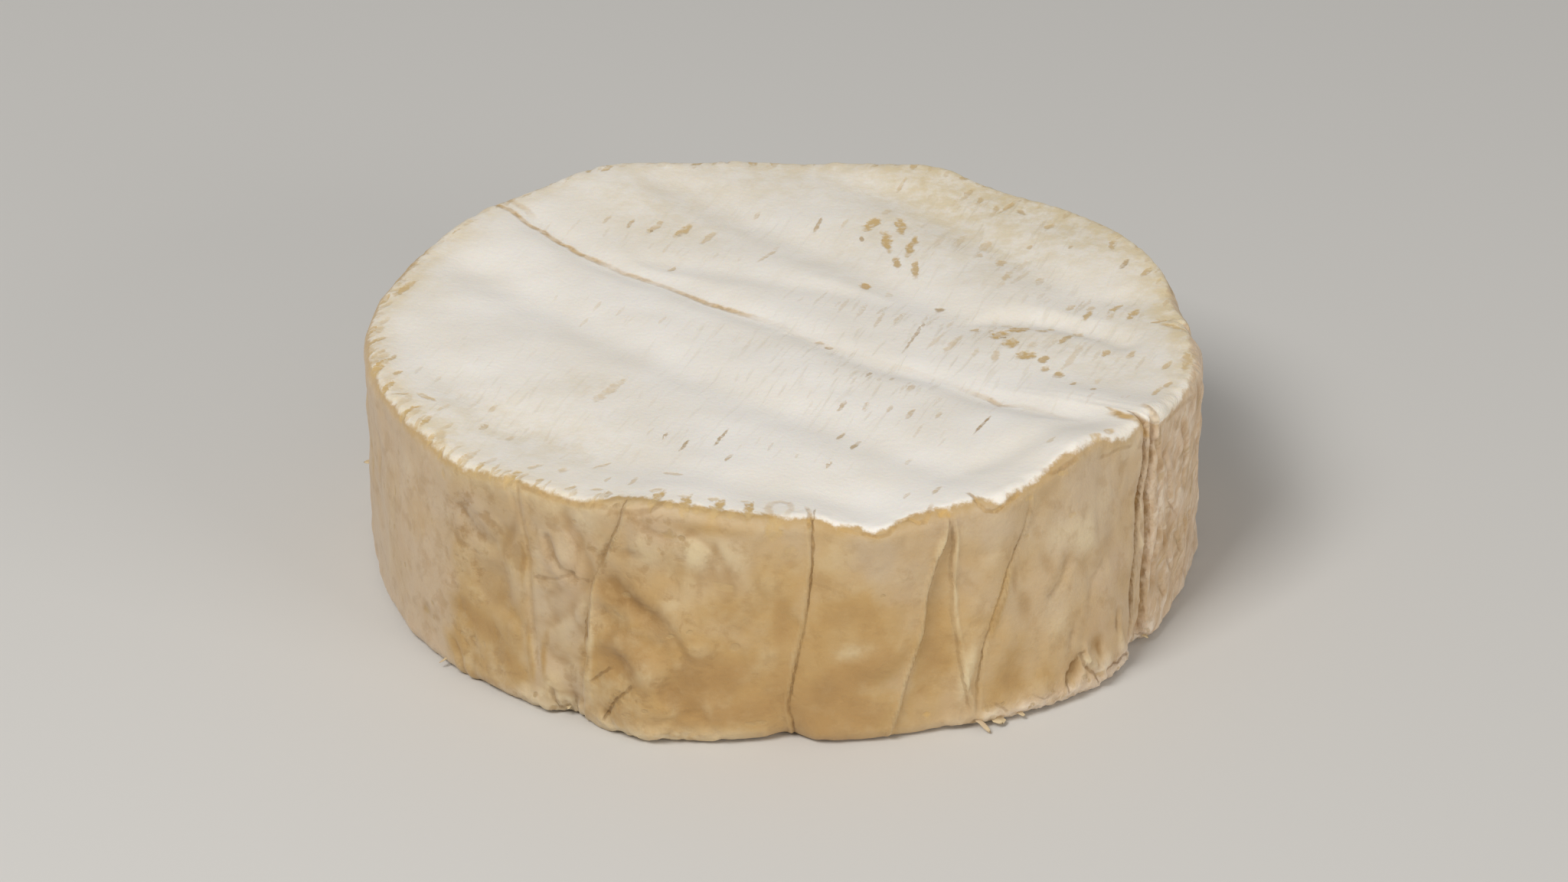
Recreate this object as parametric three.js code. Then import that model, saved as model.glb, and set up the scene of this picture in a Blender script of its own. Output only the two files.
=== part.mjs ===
// A whole soft-ripened cheese wheel: one solid piece with a bloomy rind.
// Lengths are millimetres. Z is up and the origin is the middle of the face it rests on.
// A bearing is in degrees, anticlockwise from +X as seen from above, so -90 is the front.
import * as THREE from "three";

// Driving dimensions.
const WHEEL_DIAMETER = 108;
const WHEEL_HEIGHT = 31; // from the base to the mean level of the rim
const FOOT_SPREAD = 0.6; // how much further out the wall stands at its foot than at its rim
const RIM_ROUND = 1.6; // radius of the rounded edge round the top
const FOOT_ROUND = 2.2; // radius of the rounded edge round the base
const DISH_DEPTH = 0.5; // how far the middle of the top has sunk below the rim
const RIM_REACH = 0.45; // share of the radius over which the top follows its own rim's level

// Mesh density. The top is a grid of squares pressed into a disc, so its edge has 8 columns a ring.
const TOP_RINGS = 24;
const COLUMNS = 8 * TOP_RINGS;
const FIRST_BEARING = -135; // of the grid's lower left corner
const RIM_STEPS = 2;
const WALL_STEPS = 7;
const FOOT_STEPS = 2;
const BASE_SPOKES = 24;
const BASE_RING = 0.5; // share of the radius
const CURVE_STEPS = 16; // straight pieces that a trough is measured by
const FINEST_FOLD = 1.5; // half width of the narrowest fold that this mesh can hold

// Swells are { at: bearing, by: millimetres, spread: degrees }, and fade as a bell on each side.
const RIM_SWELLS = [
  { at: -150, by: -0.3, spread: 14 },
  { at: -86, by: -0.9, spread: 5 },
  { at: -77, by: 1.1, spread: 6 },
  { at: -62, by: 1.0, spread: 6 },
  { at: -42, by: -1.2, spread: 9 },
  { at: -13, by: 1.0, spread: 8 },
  { at: 7, by: -1.1, spread: 8 },
  { at: 32, by: 0.5, spread: 12 },
  { at: 55, by: -0.2, spread: 7 },
  { at: 66, by: 1.1, spread: 8 },
  { at: 118, by: 1.1, spread: 13 },
  { at: 137, by: 0.5, spread: 9 },
  { at: 164, by: -0.4, spread: 10 },
];
const FOOT_SWELLS = [
  { at: -170, by: -1.2, spread: 18 },
  { at: -107, by: 1.9, spread: 7 },
  { at: -92, by: -0.9, spread: 5 },
  { at: -63, by: 1.0, spread: 5 },
  { at: -52, by: 1.8, spread: 8 },
  { at: -42, by: 1.2, spread: 6 },
  { at: -15, by: -0.4, spread: 8 },
  { at: 20, by: 0.9, spread: 10 },
  { at: 60, by: -0.8, spread: 9 },
  { at: 95, by: 1.1, spread: 8 },
  { at: 130, by: -0.6, spread: 10 },
  { at: 160, by: 0.8, spread: 8 },
];
const RIM_RISES = [
  { at: -140, by: -0.9, spread: 9 },
  { at: -104, by: 1.1, spread: 8 },
  { at: -77, by: -1.2, spread: 7 },
  { at: -44, by: 2.0, spread: 9 },
  { at: -29, by: 1.2, spread: 5 },
  { at: 7, by: -0.5, spread: 7 },
  { at: 26, by: 0.5, spread: 9 },
  { at: 57, by: -0.4, spread: 7 },
  { at: 67, by: 0.4, spread: 6 },
  { at: 90, by: -0.7, spread: 9 },
  { at: 117, by: 0.9, spread: 9 },
  { at: 140, by: 0.4, spread: 8 },
  { at: 115, by: 0.5, spread: 50 },
];

// Troughs that the bars of the drying rack pressed into the top: from one point to another,
// bowed sideways at the middle, in plan.
const TROUGHS = [
  { from: [-52, -1], to: [9, -49], bow: -8, depth: 0.7, halfWidth: 4.5 }, // front left
  { from: [-48, 27], to: [21, -39.5], bow: -2.5, depth: 1.0, halfWidth: 4.2 }, // left
  { from: [-41, 42.5], to: [39, -26.5], bow: -4, depth: 0.8, halfWidth: 2.4 }, // middle
  { from: [-17, 47], to: [25, 3], bow: 0.5, depth: 1.2, halfWidth: 3.4 }, // back
  { from: [24, 3.5], to: [44, -3], bow: 3, depth: 1.0, halfWidth: 2.2 }, // back, right end
  { from: [-17, 21.5], to: [22, 6.5], bow: 0, depth: 0.5, halfWidth: 2.6 }, // between
  { from: [4, 54], to: [40, 11], bow: 1.5, depth: 1.2, halfWidth: 4.4 }, // far right
  { from: [38, 12], to: [56, 9], bow: -0.8, depth: 0.9, halfWidth: 2.8 }, // far right, right end
  { from: [20, -40], to: [39, -28], bow: -1.5, depth: 1.0, halfWidth: 2.8 }, // behind the front lip
];
const TROUGH_FADE = 8; // how far inside the rim the troughs begin to rise out of it
const TROUGH_AT_RIM = 0.15; // share of a trough's depth that is left at the rim

// Folds that the wrapper pressed into the wall: each runs down through [bearing, height] points.
// ledge is how much further out the wall stands on the fold's right side than on its left.
const FOLDS = [
  { path: [[-127.5, 30], [-126, 22], [-125, 14], [-124.5, 3]], depth: 0.5, halfWidth: 1.2, ledge: -0.4 },
  { path: [[-111.5, 32], [-115.5, 23], [-116.6, 11], [-118.5, 0]], depth: 1.1, halfWidth: 0.9, ledge: 0.5 },
  { path: [[-86.5, 32], [-87.3, 19], [-88.9, 9], [-88.8, 0]], depth: 0.9, halfWidth: 0.6, ledge: 0.3 },
  { path: [[-67.8, 29], [-70.2, 25], [-71.5, 18], [-74.6, 4]], depth: 0.3, halfWidth: 0.8, ledge: -0.7 },
  { path: [[-67.6, 29], [-67.2, 18], [-66, 8], [-64.6, 2]], depth: 0.2, halfWidth: 0.8, ledge: 0.7 },
  { path: [[-55.5, 29], [-59, 23.5], [-62.3, 14], [-64.8, 3]], depth: 0.7, halfWidth: 0.7, ledge: 0.5 },
  { path: [[-33.8, 33], [-35.5, 28], [-36.3, 11], [-36.1, 0]], depth: 1.6, halfWidth: 0.8, ledge: -0.3 },
  { path: [[-31.6, 30], [-32.5, 22], [-31.8, 8], [-31.5, 0]], depth: 1.4, halfWidth: 0.8, ledge: 0.3 },
  { path: [[3, 31], [1, 14], [2, 0]], depth: 0.9, halfWidth: 0.8, ledge: 0.4 },
  { path: [[27, 26], [24, 15], [25, 0]], depth: 1.2, halfWidth: 0.8, ledge: -0.4 },
  { path: [[46, 27], [50, 15], [53, 2]], depth: 0.7, halfWidth: 0.7, ledge: 0.5 },
  { path: [[71, 26], [70, 15], [73, 0]], depth: 1.3, halfWidth: 0.9, ledge: 0.3 },
  { path: [[98, 31], [94, 18], [93, 4]], depth: 0.7, halfWidth: 0.7, ledge: -0.5 },
  { path: [[121, 27], [123, 16], [122, 0]], depth: 1.1, halfWidth: 0.8, ledge: 0.4 },
  { path: [[146, 28], [142, 16], [143, 0]], depth: 0.8, halfWidth: 0.7, ledge: 0.4 },
  { path: [[168, 25], [171, 15], [170, 0]], depth: 0.9, halfWidth: 0.8, ledge: -0.3 },
];
const LEDGE_REACH = 5; // how far from its fold a ledge has died away

// Notches in the foot below the deepest folds.
const FOOT_NOTCHES = [
  { at: -119, by: -1.9, spread: 2.6 },
  { at: -88.8, by: -1.7, spread: 2.4 },
  { at: -34, by: -1.3, spread: 3 },
  { at: 25, by: -1.5, spread: 2.6 },
  { at: 72, by: -1.7, spread: 2.8 },
  { at: 122, by: -1.4, spread: 2.5 },
  { at: 170, by: -1.2, spread: 2.5 },
];
const NOTCH_HEIGHT = 4; // how far up the wall a notch has died away

// Soft lumps in the wall where the paste bulges or has sunk.
const LUMPS = [
  { at: -150, height: 14, by: 0.4, spread: 9 },
  { at: -132, height: 18, by: -0.7, spread: 6 },
  { at: -121.5, height: 4, by: 0.9, spread: 2.2 },
  { at: -108, height: 25, by: 0.5, spread: 3 },
  { at: -108, height: 9, by: 0.8, spread: 6 },
  { at: -97, height: 15, by: 0.5, spread: 8 },
  { at: -80, height: 12, by: 0.6, spread: 7 },
  { at: -47, height: 17, by: 0.6, spread: 9 },
  { at: -20, height: 14, by: 0.5, spread: 8 },
  { at: 12, height: 17, by: 0.7, spread: 8 },
  { at: 38, height: 12, by: 0.5, spread: 8 },
  { at: 60, height: 18, by: 0.6, spread: 7 },
  { at: 84, height: 13, by: 0.7, spread: 9 },
  { at: 109, height: 17, by: 0.5, spread: 8 },
  { at: 133, height: 12, by: 0.6, spread: 7 },
  { at: 157, height: 17, by: 0.5, spread: 8 },
];

const RADIUS = WHEEL_DIAMETER / 2;
const bell = (distance, spread) => Math.exp(-((distance / spread) ** 2));
const smooth = (t) => {
  const share = THREE.MathUtils.clamp(t, 0, 1);
  return share * share * (3 - 2 * share);
};
const turnBetween = (a, b) => THREE.MathUtils.euclideanModulo(a - b + 180, 360) - 180;
const arcBetween = (a, b) => THREE.MathUtils.degToRad(turnBetween(a, b)) * RADIUS;

// The sum of a list's swells at a bearing.
function swellAt(swells, bearing) {
  return swells.reduce(
    (sum, swell) => sum + swell.by * bell(turnBetween(bearing, swell.at), swell.spread),
    0,
  );
}

// A trough's centreline: a quadratic curve from one end to the other, sampled as points.
function troughLine({ from, to, bow }) {
  const start = new THREE.Vector2(...from);
  const end = new THREE.Vector2(...to);
  const along = end.clone().sub(start).normalize();
  const sideways = new THREE.Vector2(-along.y, along.x);
  const handle = start.clone().lerp(end, 0.5).addScaledVector(sideways, 2 * bow);
  return new THREE.QuadraticBezierCurve(start, handle, end).getPoints(CURVE_STEPS);
}
const TROUGH_LINES = TROUGHS.map(troughLine);

// The distance from a point to a centreline.
function distanceToLine(point, line) {
  let least = Infinity;
  for (let i = 1; i < line.length; i += 1) {
    const piece = line[i].clone().sub(line[i - 1]);
    const offset = point.clone().sub(line[i - 1]);
    const share = THREE.MathUtils.clamp(offset.dot(piece) / piece.lengthSq(), 0, 1);
    least = Math.min(least, offset.addScaledVector(piece, -share).length());
  }
  return least;
}

// How far the troughs sink the top at a point. Where troughs cross, the deeper one counts most.
function troughDepth(point) {
  return TROUGHS.reduce((deepest, trough, i) => {
    const depth = trough.depth * bell(distanceToLine(point, TROUGH_LINES[i]), trough.halfWidth);
    return Math.max(deepest, depth);
  }, 0);
}

const rimLevel = (bearing) => WHEEL_HEIGHT + swellAt(RIM_RISES, bearing);

// A fold's bearing at a height, and how strongly it shows there: it fades past its two ends.
function foldAt(path, height) {
  const lowest = path[path.length - 1][1];
  const highest = path[0][1];
  const strength = 1 - smooth((lowest - height) / 2) - smooth((height - highest) / 2);
  for (let i = 1; i < path.length; i += 1) {
    const [upperBearing, upperHeight] = path[i - 1];
    const [lowerBearing, lowerHeight] = path[i];
    if (height >= lowerHeight || i === path.length - 1) {
      const share = THREE.MathUtils.clamp((height - lowerHeight) / (upperHeight - lowerHeight), 0, 1);
      return { bearing: THREE.MathUtils.lerp(lowerBearing, upperBearing, share), strength };
    }
  }
}

// How far out the folds, lumps and notches move the wall at a bearing and height.
function wallRelief(bearing, height) {
  let relief = 0;
  for (const fold of FOLDS) {
    const { bearing: foldBearing, strength } = foldAt(fold.path, height);
    const offset = arcBetween(bearing, foldBearing);
    const halfWidth = Math.max(fold.halfWidth, FINEST_FOLD);
    const side = Math.tanh(offset / halfWidth) * bell(offset, LEDGE_REACH);
    relief += strength * (0.5 * fold.ledge * side - fold.depth * bell(offset, halfWidth));
  }
  for (const lump of LUMPS) {
    const distance = Math.hypot(arcBetween(bearing, lump.at), height - lump.height);
    relief += lump.by * bell(distance, lump.spread);
  }
  return relief + swellAt(FOOT_NOTCHES, bearing) * bell(height, NOTCH_HEIGHT);
}

// The wall's radius at a bearing and height, before its two edges are rounded.
function wallRadius(bearing, height) {
  const share = smooth(height / rimLevel(bearing));
  const foot = RADIUS + FOOT_SPREAD + swellAt(FOOT_SWELLS, bearing);
  const rim = RADIUS + swellAt(RIM_SWELLS, bearing);
  return THREE.MathUtils.lerp(foot, rim, share) + wallRelief(bearing, height);
}

// Where the top meets the rounded edge round it.
const edgeRadius = (bearing) => wallRadius(bearing, WHEEL_HEIGHT) - RIM_ROUND;

// The top's height at a share of the way from the middle to its edge, along a bearing.
function topHeight(bearing, share) {
  const edge = edgeRadius(bearing);
  const turn = THREE.MathUtils.degToRad(bearing);
  const point = new THREE.Vector2(Math.cos(turn), Math.sin(turn)).multiplyScalar(share * edge);
  const follow = smooth((share - 1 + RIM_REACH) / RIM_REACH);
  const level = THREE.MathUtils.lerp(WHEEL_HEIGHT, rimLevel(bearing), follow);
  const dish = DISH_DEPTH * (1 - share ** 4);
  const inside = smooth((edge * (1 - share)) / TROUGH_FADE);
  return level - dish - troughDepth(point) * THREE.MathUtils.lerp(TROUGH_AT_RIM, 1, inside);
}

// The rows of the wall as functions of the bearing, from just under the top's edge to the base.
function wallRows() {
  const rows = [];
  for (let i = 1; i <= RIM_STEPS; i += 1) {
    const turn = (Math.PI / 2) * (i / RIM_STEPS);
    rows.push((bearing) => {
      const level = topHeight(bearing, 1) - RIM_ROUND * (1 - Math.cos(turn));
      return [wallRadius(bearing, level) - RIM_ROUND * (1 - Math.sin(turn)), level];
    });
  }
  for (let i = 1; i < WALL_STEPS; i += 1) {
    rows.push((bearing) => {
      const upper = topHeight(bearing, 1) - RIM_ROUND;
      const level = THREE.MathUtils.lerp(upper, FOOT_ROUND, i / WALL_STEPS);
      return [wallRadius(bearing, level), level];
    });
  }
  for (let i = 0; i <= FOOT_STEPS; i += 1) {
    const turn = (Math.PI / 2) * (i / FOOT_STEPS);
    const level = FOOT_ROUND * (1 - Math.sin(turn));
    rows.push((bearing) => [wallRadius(bearing, level) - FOOT_ROUND * (1 - Math.cos(turn)), level]);
  }
  return rows;
}

// The bearing on the circle of a point of the square grid: each side of a square ring is a quarter.
function squareBearing(column, row) {
  const ring = Math.max(Math.abs(column), Math.abs(row));
  if (ring === 0) return 0;
  if (row === -ring) return -90 + (45 * column) / ring;
  if (column === ring) return (45 * row) / ring;
  if (row === ring) return 90 - (45 * column) / ring;
  return 180 - (45 * row) / ring;
}

// One closed surface: a disc for the top, bands for the wall, and a flat base.
function wheelGeometry() {
  const positions = [];
  const faces = [];
  const add = (bearing, radius, height) => {
    const turn = THREE.MathUtils.degToRad(bearing);
    positions.push(radius * Math.cos(turn), radius * Math.sin(turn), height);
    return positions.length / 3 - 1;
  };
  const quad = (a, b, c, d) => faces.push(a, b, c, a, c, d);

  // The top: each square ring of the grid becomes a circle.
  const side = 2 * TOP_RINGS;
  const top = [];
  for (let row = 0; row <= side; row += 1) {
    top.push([]);
    for (let column = 0; column <= side; column += 1) {
      const across = column - TOP_RINGS;
      const up = row - TOP_RINGS;
      const bearing = squareBearing(across, up);
      const share = Math.max(Math.abs(across), Math.abs(up)) / TOP_RINGS;
      top[row].push(add(bearing, share * edgeRadius(bearing), topHeight(bearing, share)));
    }
  }
  // Each square is split along the diagonal that points to the middle, so no triangle is flat.
  for (let row = 0; row < side; row += 1) {
    for (let column = 0; column < side; column += 1) {
      const [near, far] = [top[row], top[row + 1]];
      const corners = [near[column], near[column + 1], far[column + 1], far[column]];
      if (row < TOP_RINGS !== column < TOP_RINGS) corners.push(corners.shift());
      quad(...corners);
    }
  }

  // The wall: from the grid's border, taken from its lower left corner, down to the base.
  const bearings = Array.from({ length: COLUMNS }, (_, i) => FIRST_BEARING + (360 * i) / COLUMNS);
  let upper = bearings.map((_, i) => {
    const step = i % side;
    const border = [[0, step], [step, side], [side, side - step], [side - step, 0]];
    const [row, column] = border[Math.floor(i / side)];
    return top[row][column];
  });
  for (const rowAt of wallRows()) {
    const lower = bearings.map((bearing) => add(bearing, ...rowAt(bearing)));
    for (let i = 0; i < COLUMNS; i += 1) {
      const next = (i + 1) % COLUMNS;
      quad(upper[i], lower[i], lower[next], upper[next]);
    }
    upper = lower;
  }

  // The base: a band from the foot to a small ring of spokes, then a fan from its middle.
  const middle = add(0, 0, 0);
  const columnsPerSpoke = COLUMNS / BASE_SPOKES;
  const spokes = Array.from({ length: BASE_SPOKES }, (_, i) => (
    add(bearings[i * columnsPerSpoke], BASE_RING * RADIUS, 0)
  ));
  for (let i = 0; i < COLUMNS; i += 1) {
    const spoke = spokes[Math.round(i / columnsPerSpoke) % BASE_SPOKES];
    const nextSpoke = spokes[Math.round((i + 1) / columnsPerSpoke) % BASE_SPOKES];
    faces.push(upper[i], spoke, upper[(i + 1) % COLUMNS]);
    if (spoke !== nextSpoke) faces.push(spoke, nextSpoke, upper[(i + 1) % COLUMNS]);
  }
  for (let i = 0; i < BASE_SPOKES; i += 1) faces.push(spokes[i], middle, spokes[(i + 1) % BASE_SPOKES]);

  const geometry = new THREE.BufferGeometry();
  geometry.setAttribute("position", new THREE.Float32BufferAttribute(positions, 3));
  geometry.setIndex(faces);
  return geometry;
}

// Moves the wheel so that its outline in plan is centred on the origin.
function centre(geometry) {
  geometry.computeBoundingBox();
  const { min, max } = geometry.boundingBox;
  geometry.translate(-(min.x + max.x) / 2, -(min.y + max.y) / 2, 0);
  geometry.computeVertexNormals();
  return geometry;
}

const rind = new THREE.MeshStandardMaterial({ color: "#e2dac8", roughness: 0.85, metalness: 0 });
const wheel = new THREE.Mesh(centre(wheelGeometry()), rind);
wheel.name = "cheese_wheel";

const part = new THREE.Group();
part.add(wheel);
export default part;
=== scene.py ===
# %% [markdown]
# # A soft-ripened cheese wheel
#
# A wheel of this cheese is one piece: a soft paste in a thin rind. White mould blooms on the flat
# top, where the bars of a drying rack have pressed long troughs. The wall has less bloom, so its
# golden paste shows through, and the wrapper has pressed sharp folds into it.
#
# The solid that carries the physics is loaded first, and it is hidden once the wheel is made.

# %% Load the solid
import math
from itertools import zip_longest

import bmesh
import bpy
import numpy as np
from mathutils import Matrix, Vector


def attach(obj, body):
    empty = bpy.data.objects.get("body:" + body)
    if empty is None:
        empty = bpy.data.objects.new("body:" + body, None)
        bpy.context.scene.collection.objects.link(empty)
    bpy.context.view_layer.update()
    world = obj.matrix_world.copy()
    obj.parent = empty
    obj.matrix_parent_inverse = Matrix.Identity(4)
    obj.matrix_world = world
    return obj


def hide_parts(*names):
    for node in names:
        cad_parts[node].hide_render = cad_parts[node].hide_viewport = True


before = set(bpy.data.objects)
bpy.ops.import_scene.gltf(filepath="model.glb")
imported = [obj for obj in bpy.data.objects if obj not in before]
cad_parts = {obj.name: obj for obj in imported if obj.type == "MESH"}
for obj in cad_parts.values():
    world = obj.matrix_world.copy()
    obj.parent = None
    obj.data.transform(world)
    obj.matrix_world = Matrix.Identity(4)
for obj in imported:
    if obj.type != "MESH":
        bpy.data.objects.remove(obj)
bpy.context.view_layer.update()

# %% [markdown]
# ## Sizes
#
# A cheese is measured in millimetres, and Blender works in metres. All shapes below are worked out
# in millimetres and are multiplied by `MM` where they become a mesh.

# %% Sizes of the wheel, in millimetres
MM = 0.001
RADIUS = 54
HEIGHT = 31
FOOT_SPREAD = 0.6
RIM_ROUND = 1.6
FOOT_ROUND = 2.2
DISH_DEPTH = 0.5  # how far the middle of the top is sunk
RIM_REACH = 0.45  # the outer share of the top that follows the rim's rises

print("wheel:", 2 * RADIUS, "mm across and", HEIGHT, "mm high")

# %% [markdown]
# ## Bells, steps and hills
#
# Nothing on a cheese is straight, so every form here is a smooth function. A bell makes a soft
# swell, dent or trough. A step passes from one level to another. Hills are gradient noise, which
# makes the small, even unrest of a skin that has dried over soft paste. Blender has such a noise
# for one point at a time, but here it is worked out for all points in one go.

# %% Bells and steps
def bell(distance, spread):
    """A bell: e to the power of minus the square of distance over spread."""
    return np.exp(-((distance / spread) ** 2))


def step(share):
    """An eased step: 3 times the square less 2 times the cube of a share held between 0 and 1."""
    share = np.clip(share, 0, 1)
    return share * share * (3 - 2 * share)


def turn(bearing, other):
    """The angle in degrees from one bearing to another, the short way round."""
    return (bearing - other + 180) % 360 - 180


def arc(bearing, other):
    """The length along the wall from one bearing to another: their angle times the radius."""
    return np.radians(turn(bearing, other)) * RADIUS


def swell(swells, bearing):
    """The sum of bells round the wheel. Each is its bearing, its height and its spread in degrees."""
    return sum(by * bell(turn(bearing, at), spread) for at, by, spread in swells)


def around(knots, bearing):
    """Straight lines between knots, each a bearing and its value, closed round the wheel."""
    return np.interp(bearing, list(knots), list(knots.values()), period=360)


print("a bell one spread from its middle:", round(float(bell(1, 1)), 2), "a step halfway:", step(0.5))

# %% Hills
HILL_CHANCE = 11  # the seed of all hills and of the patches of chance
SLOPE_COUNT = 256
SEED_SHIFT = 19.7  # how many cubes lie between the hills of one seed and of the next
HILL_HEIGHT = 1.6  # brings the highest hills to about 1

draw = np.random.default_rng(HILL_CHANCE)
SHUFFLE = draw.permutation(SLOPE_COUNT)
SLOPES = draw.normal(size=(SLOPE_COUNT, 3))
SLOPES /= np.linalg.norm(SLOPES, axis=1, keepdims=True)


def hills(points, size, seed=0):
    """Gradient noise from about -1 to 1 at an array of points.

    Space is cut into cubes of the given size, and each corner has a random slope. A point takes
    the heights that the slopes of its eight corners give it, blended by its eased share of the way
    across its cube: 6 times the fifth power of the share, less 15 times the fourth, and 10 times
    the cube."""
    cell = points / size + SEED_SHIFT * seed
    corner = np.floor(cell).astype(int)
    share = cell - corner
    ease = share**3 * (share * (share * 6 - 15) + 10)
    height = np.zeros(points.shape[:-1])
    for side in np.ndindex(2, 2, 2):
        a, b, c = np.moveaxis((corner + side) % SLOPE_COUNT, -1, 0)
        slope = SLOPES[SHUFFLE[(SHUFFLE[(SHUFFLE[a] + b) % SLOPE_COUNT] + c) % SLOPE_COUNT]]
        weight = np.where(np.array(side, dtype=bool), ease, 1 - ease).prod(axis=-1)
        height += weight * ((share - side) * slope).sum(axis=-1)
    return HILL_HEIGHT * height


def ridges(points, size, seed=0):
    """Sharp crests: 1 less twice the hills without their sign, so they peak where hills cross 0."""
    return 1 - 2 * np.abs(hills(points, size, seed))


def layered(points, layers, base=0.0, shape=hills):
    """The base with layers of hills, or of another shape, each given by (height, size, seed)."""
    return sum((height * shape(points, size, seed) for height, size, seed in layers), base)


some_places = draw.uniform(0, 90, (5000, 3))
print("hills from", hills(some_places, 7).min().round(2), "to", hills(some_places, 7).max().round(2))

# %% [markdown]
# ## The outline
#
# Seen from above the wheel is nearly a circle, and seen from the side nearly a rectangle. What
# makes it a cheese is how it departs from both: it bulges and pinches by a millimetre round the
# rim and round the foot, and its rim rises and dips by two. Each of those is one bell.

# %% The outline of the wheel
RIM_SWELLS = [
    (-150, -0.3, 14), (-86, -0.9, 5), (-77, 1.1, 6), (-62, 1.0, 6), (-42, -1.2, 9), (-13, 1.0, 8),
    (7, -1.1, 8), (32, 0.5, 12), (55, -0.2, 7), (66, 1.1, 8), (118, 1.1, 13), (137, 0.5, 9),
    (164, -0.4, 10),
]
FOOT_SWELLS = [
    (-170, -1.2, 18), (-107, 1.9, 7), (-92, -0.9, 5), (-63, 1.0, 5), (-52, 1.8, 8), (-42, 1.2, 6),
    (-15, -0.4, 8), (20, 0.9, 10), (60, -0.8, 9), (95, 1.1, 8), (130, -0.6, 10), (160, 0.8, 8),
]
RIM_RISES = [
    (-140, -0.9, 9), (-104, 1.1, 8), (-77, -1.2, 7), (-44, 2.0, 9), (-29, 1.2, 5), (7, -0.5, 7),
    (26, 0.5, 9), (57, -0.4, 7), (67, 0.4, 6), (90, -0.7, 9), (117, 0.9, 9), (140, 0.4, 8),
    (115, 0.5, 50),
]
FOOT_NOTCHES = [
    (-119, -1.9, 2.6), (-88.8, -1.7, 2.4), (-34, -1.3, 3), (25, -1.5, 2.6), (72, -1.7, 2.8),
    (122, -1.4, 2.5), (170, -1.2, 2.5),
]
NOTCH_HEIGHT = 4


def rim_level(bearing):
    """The height of the rim: the wheel's height with its rises."""
    return HEIGHT + swell(RIM_RISES, bearing)


print("rim from", rim_level(np.arange(360)).min().round(1), "to", rim_level(np.arange(360)).max().round(1))
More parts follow.
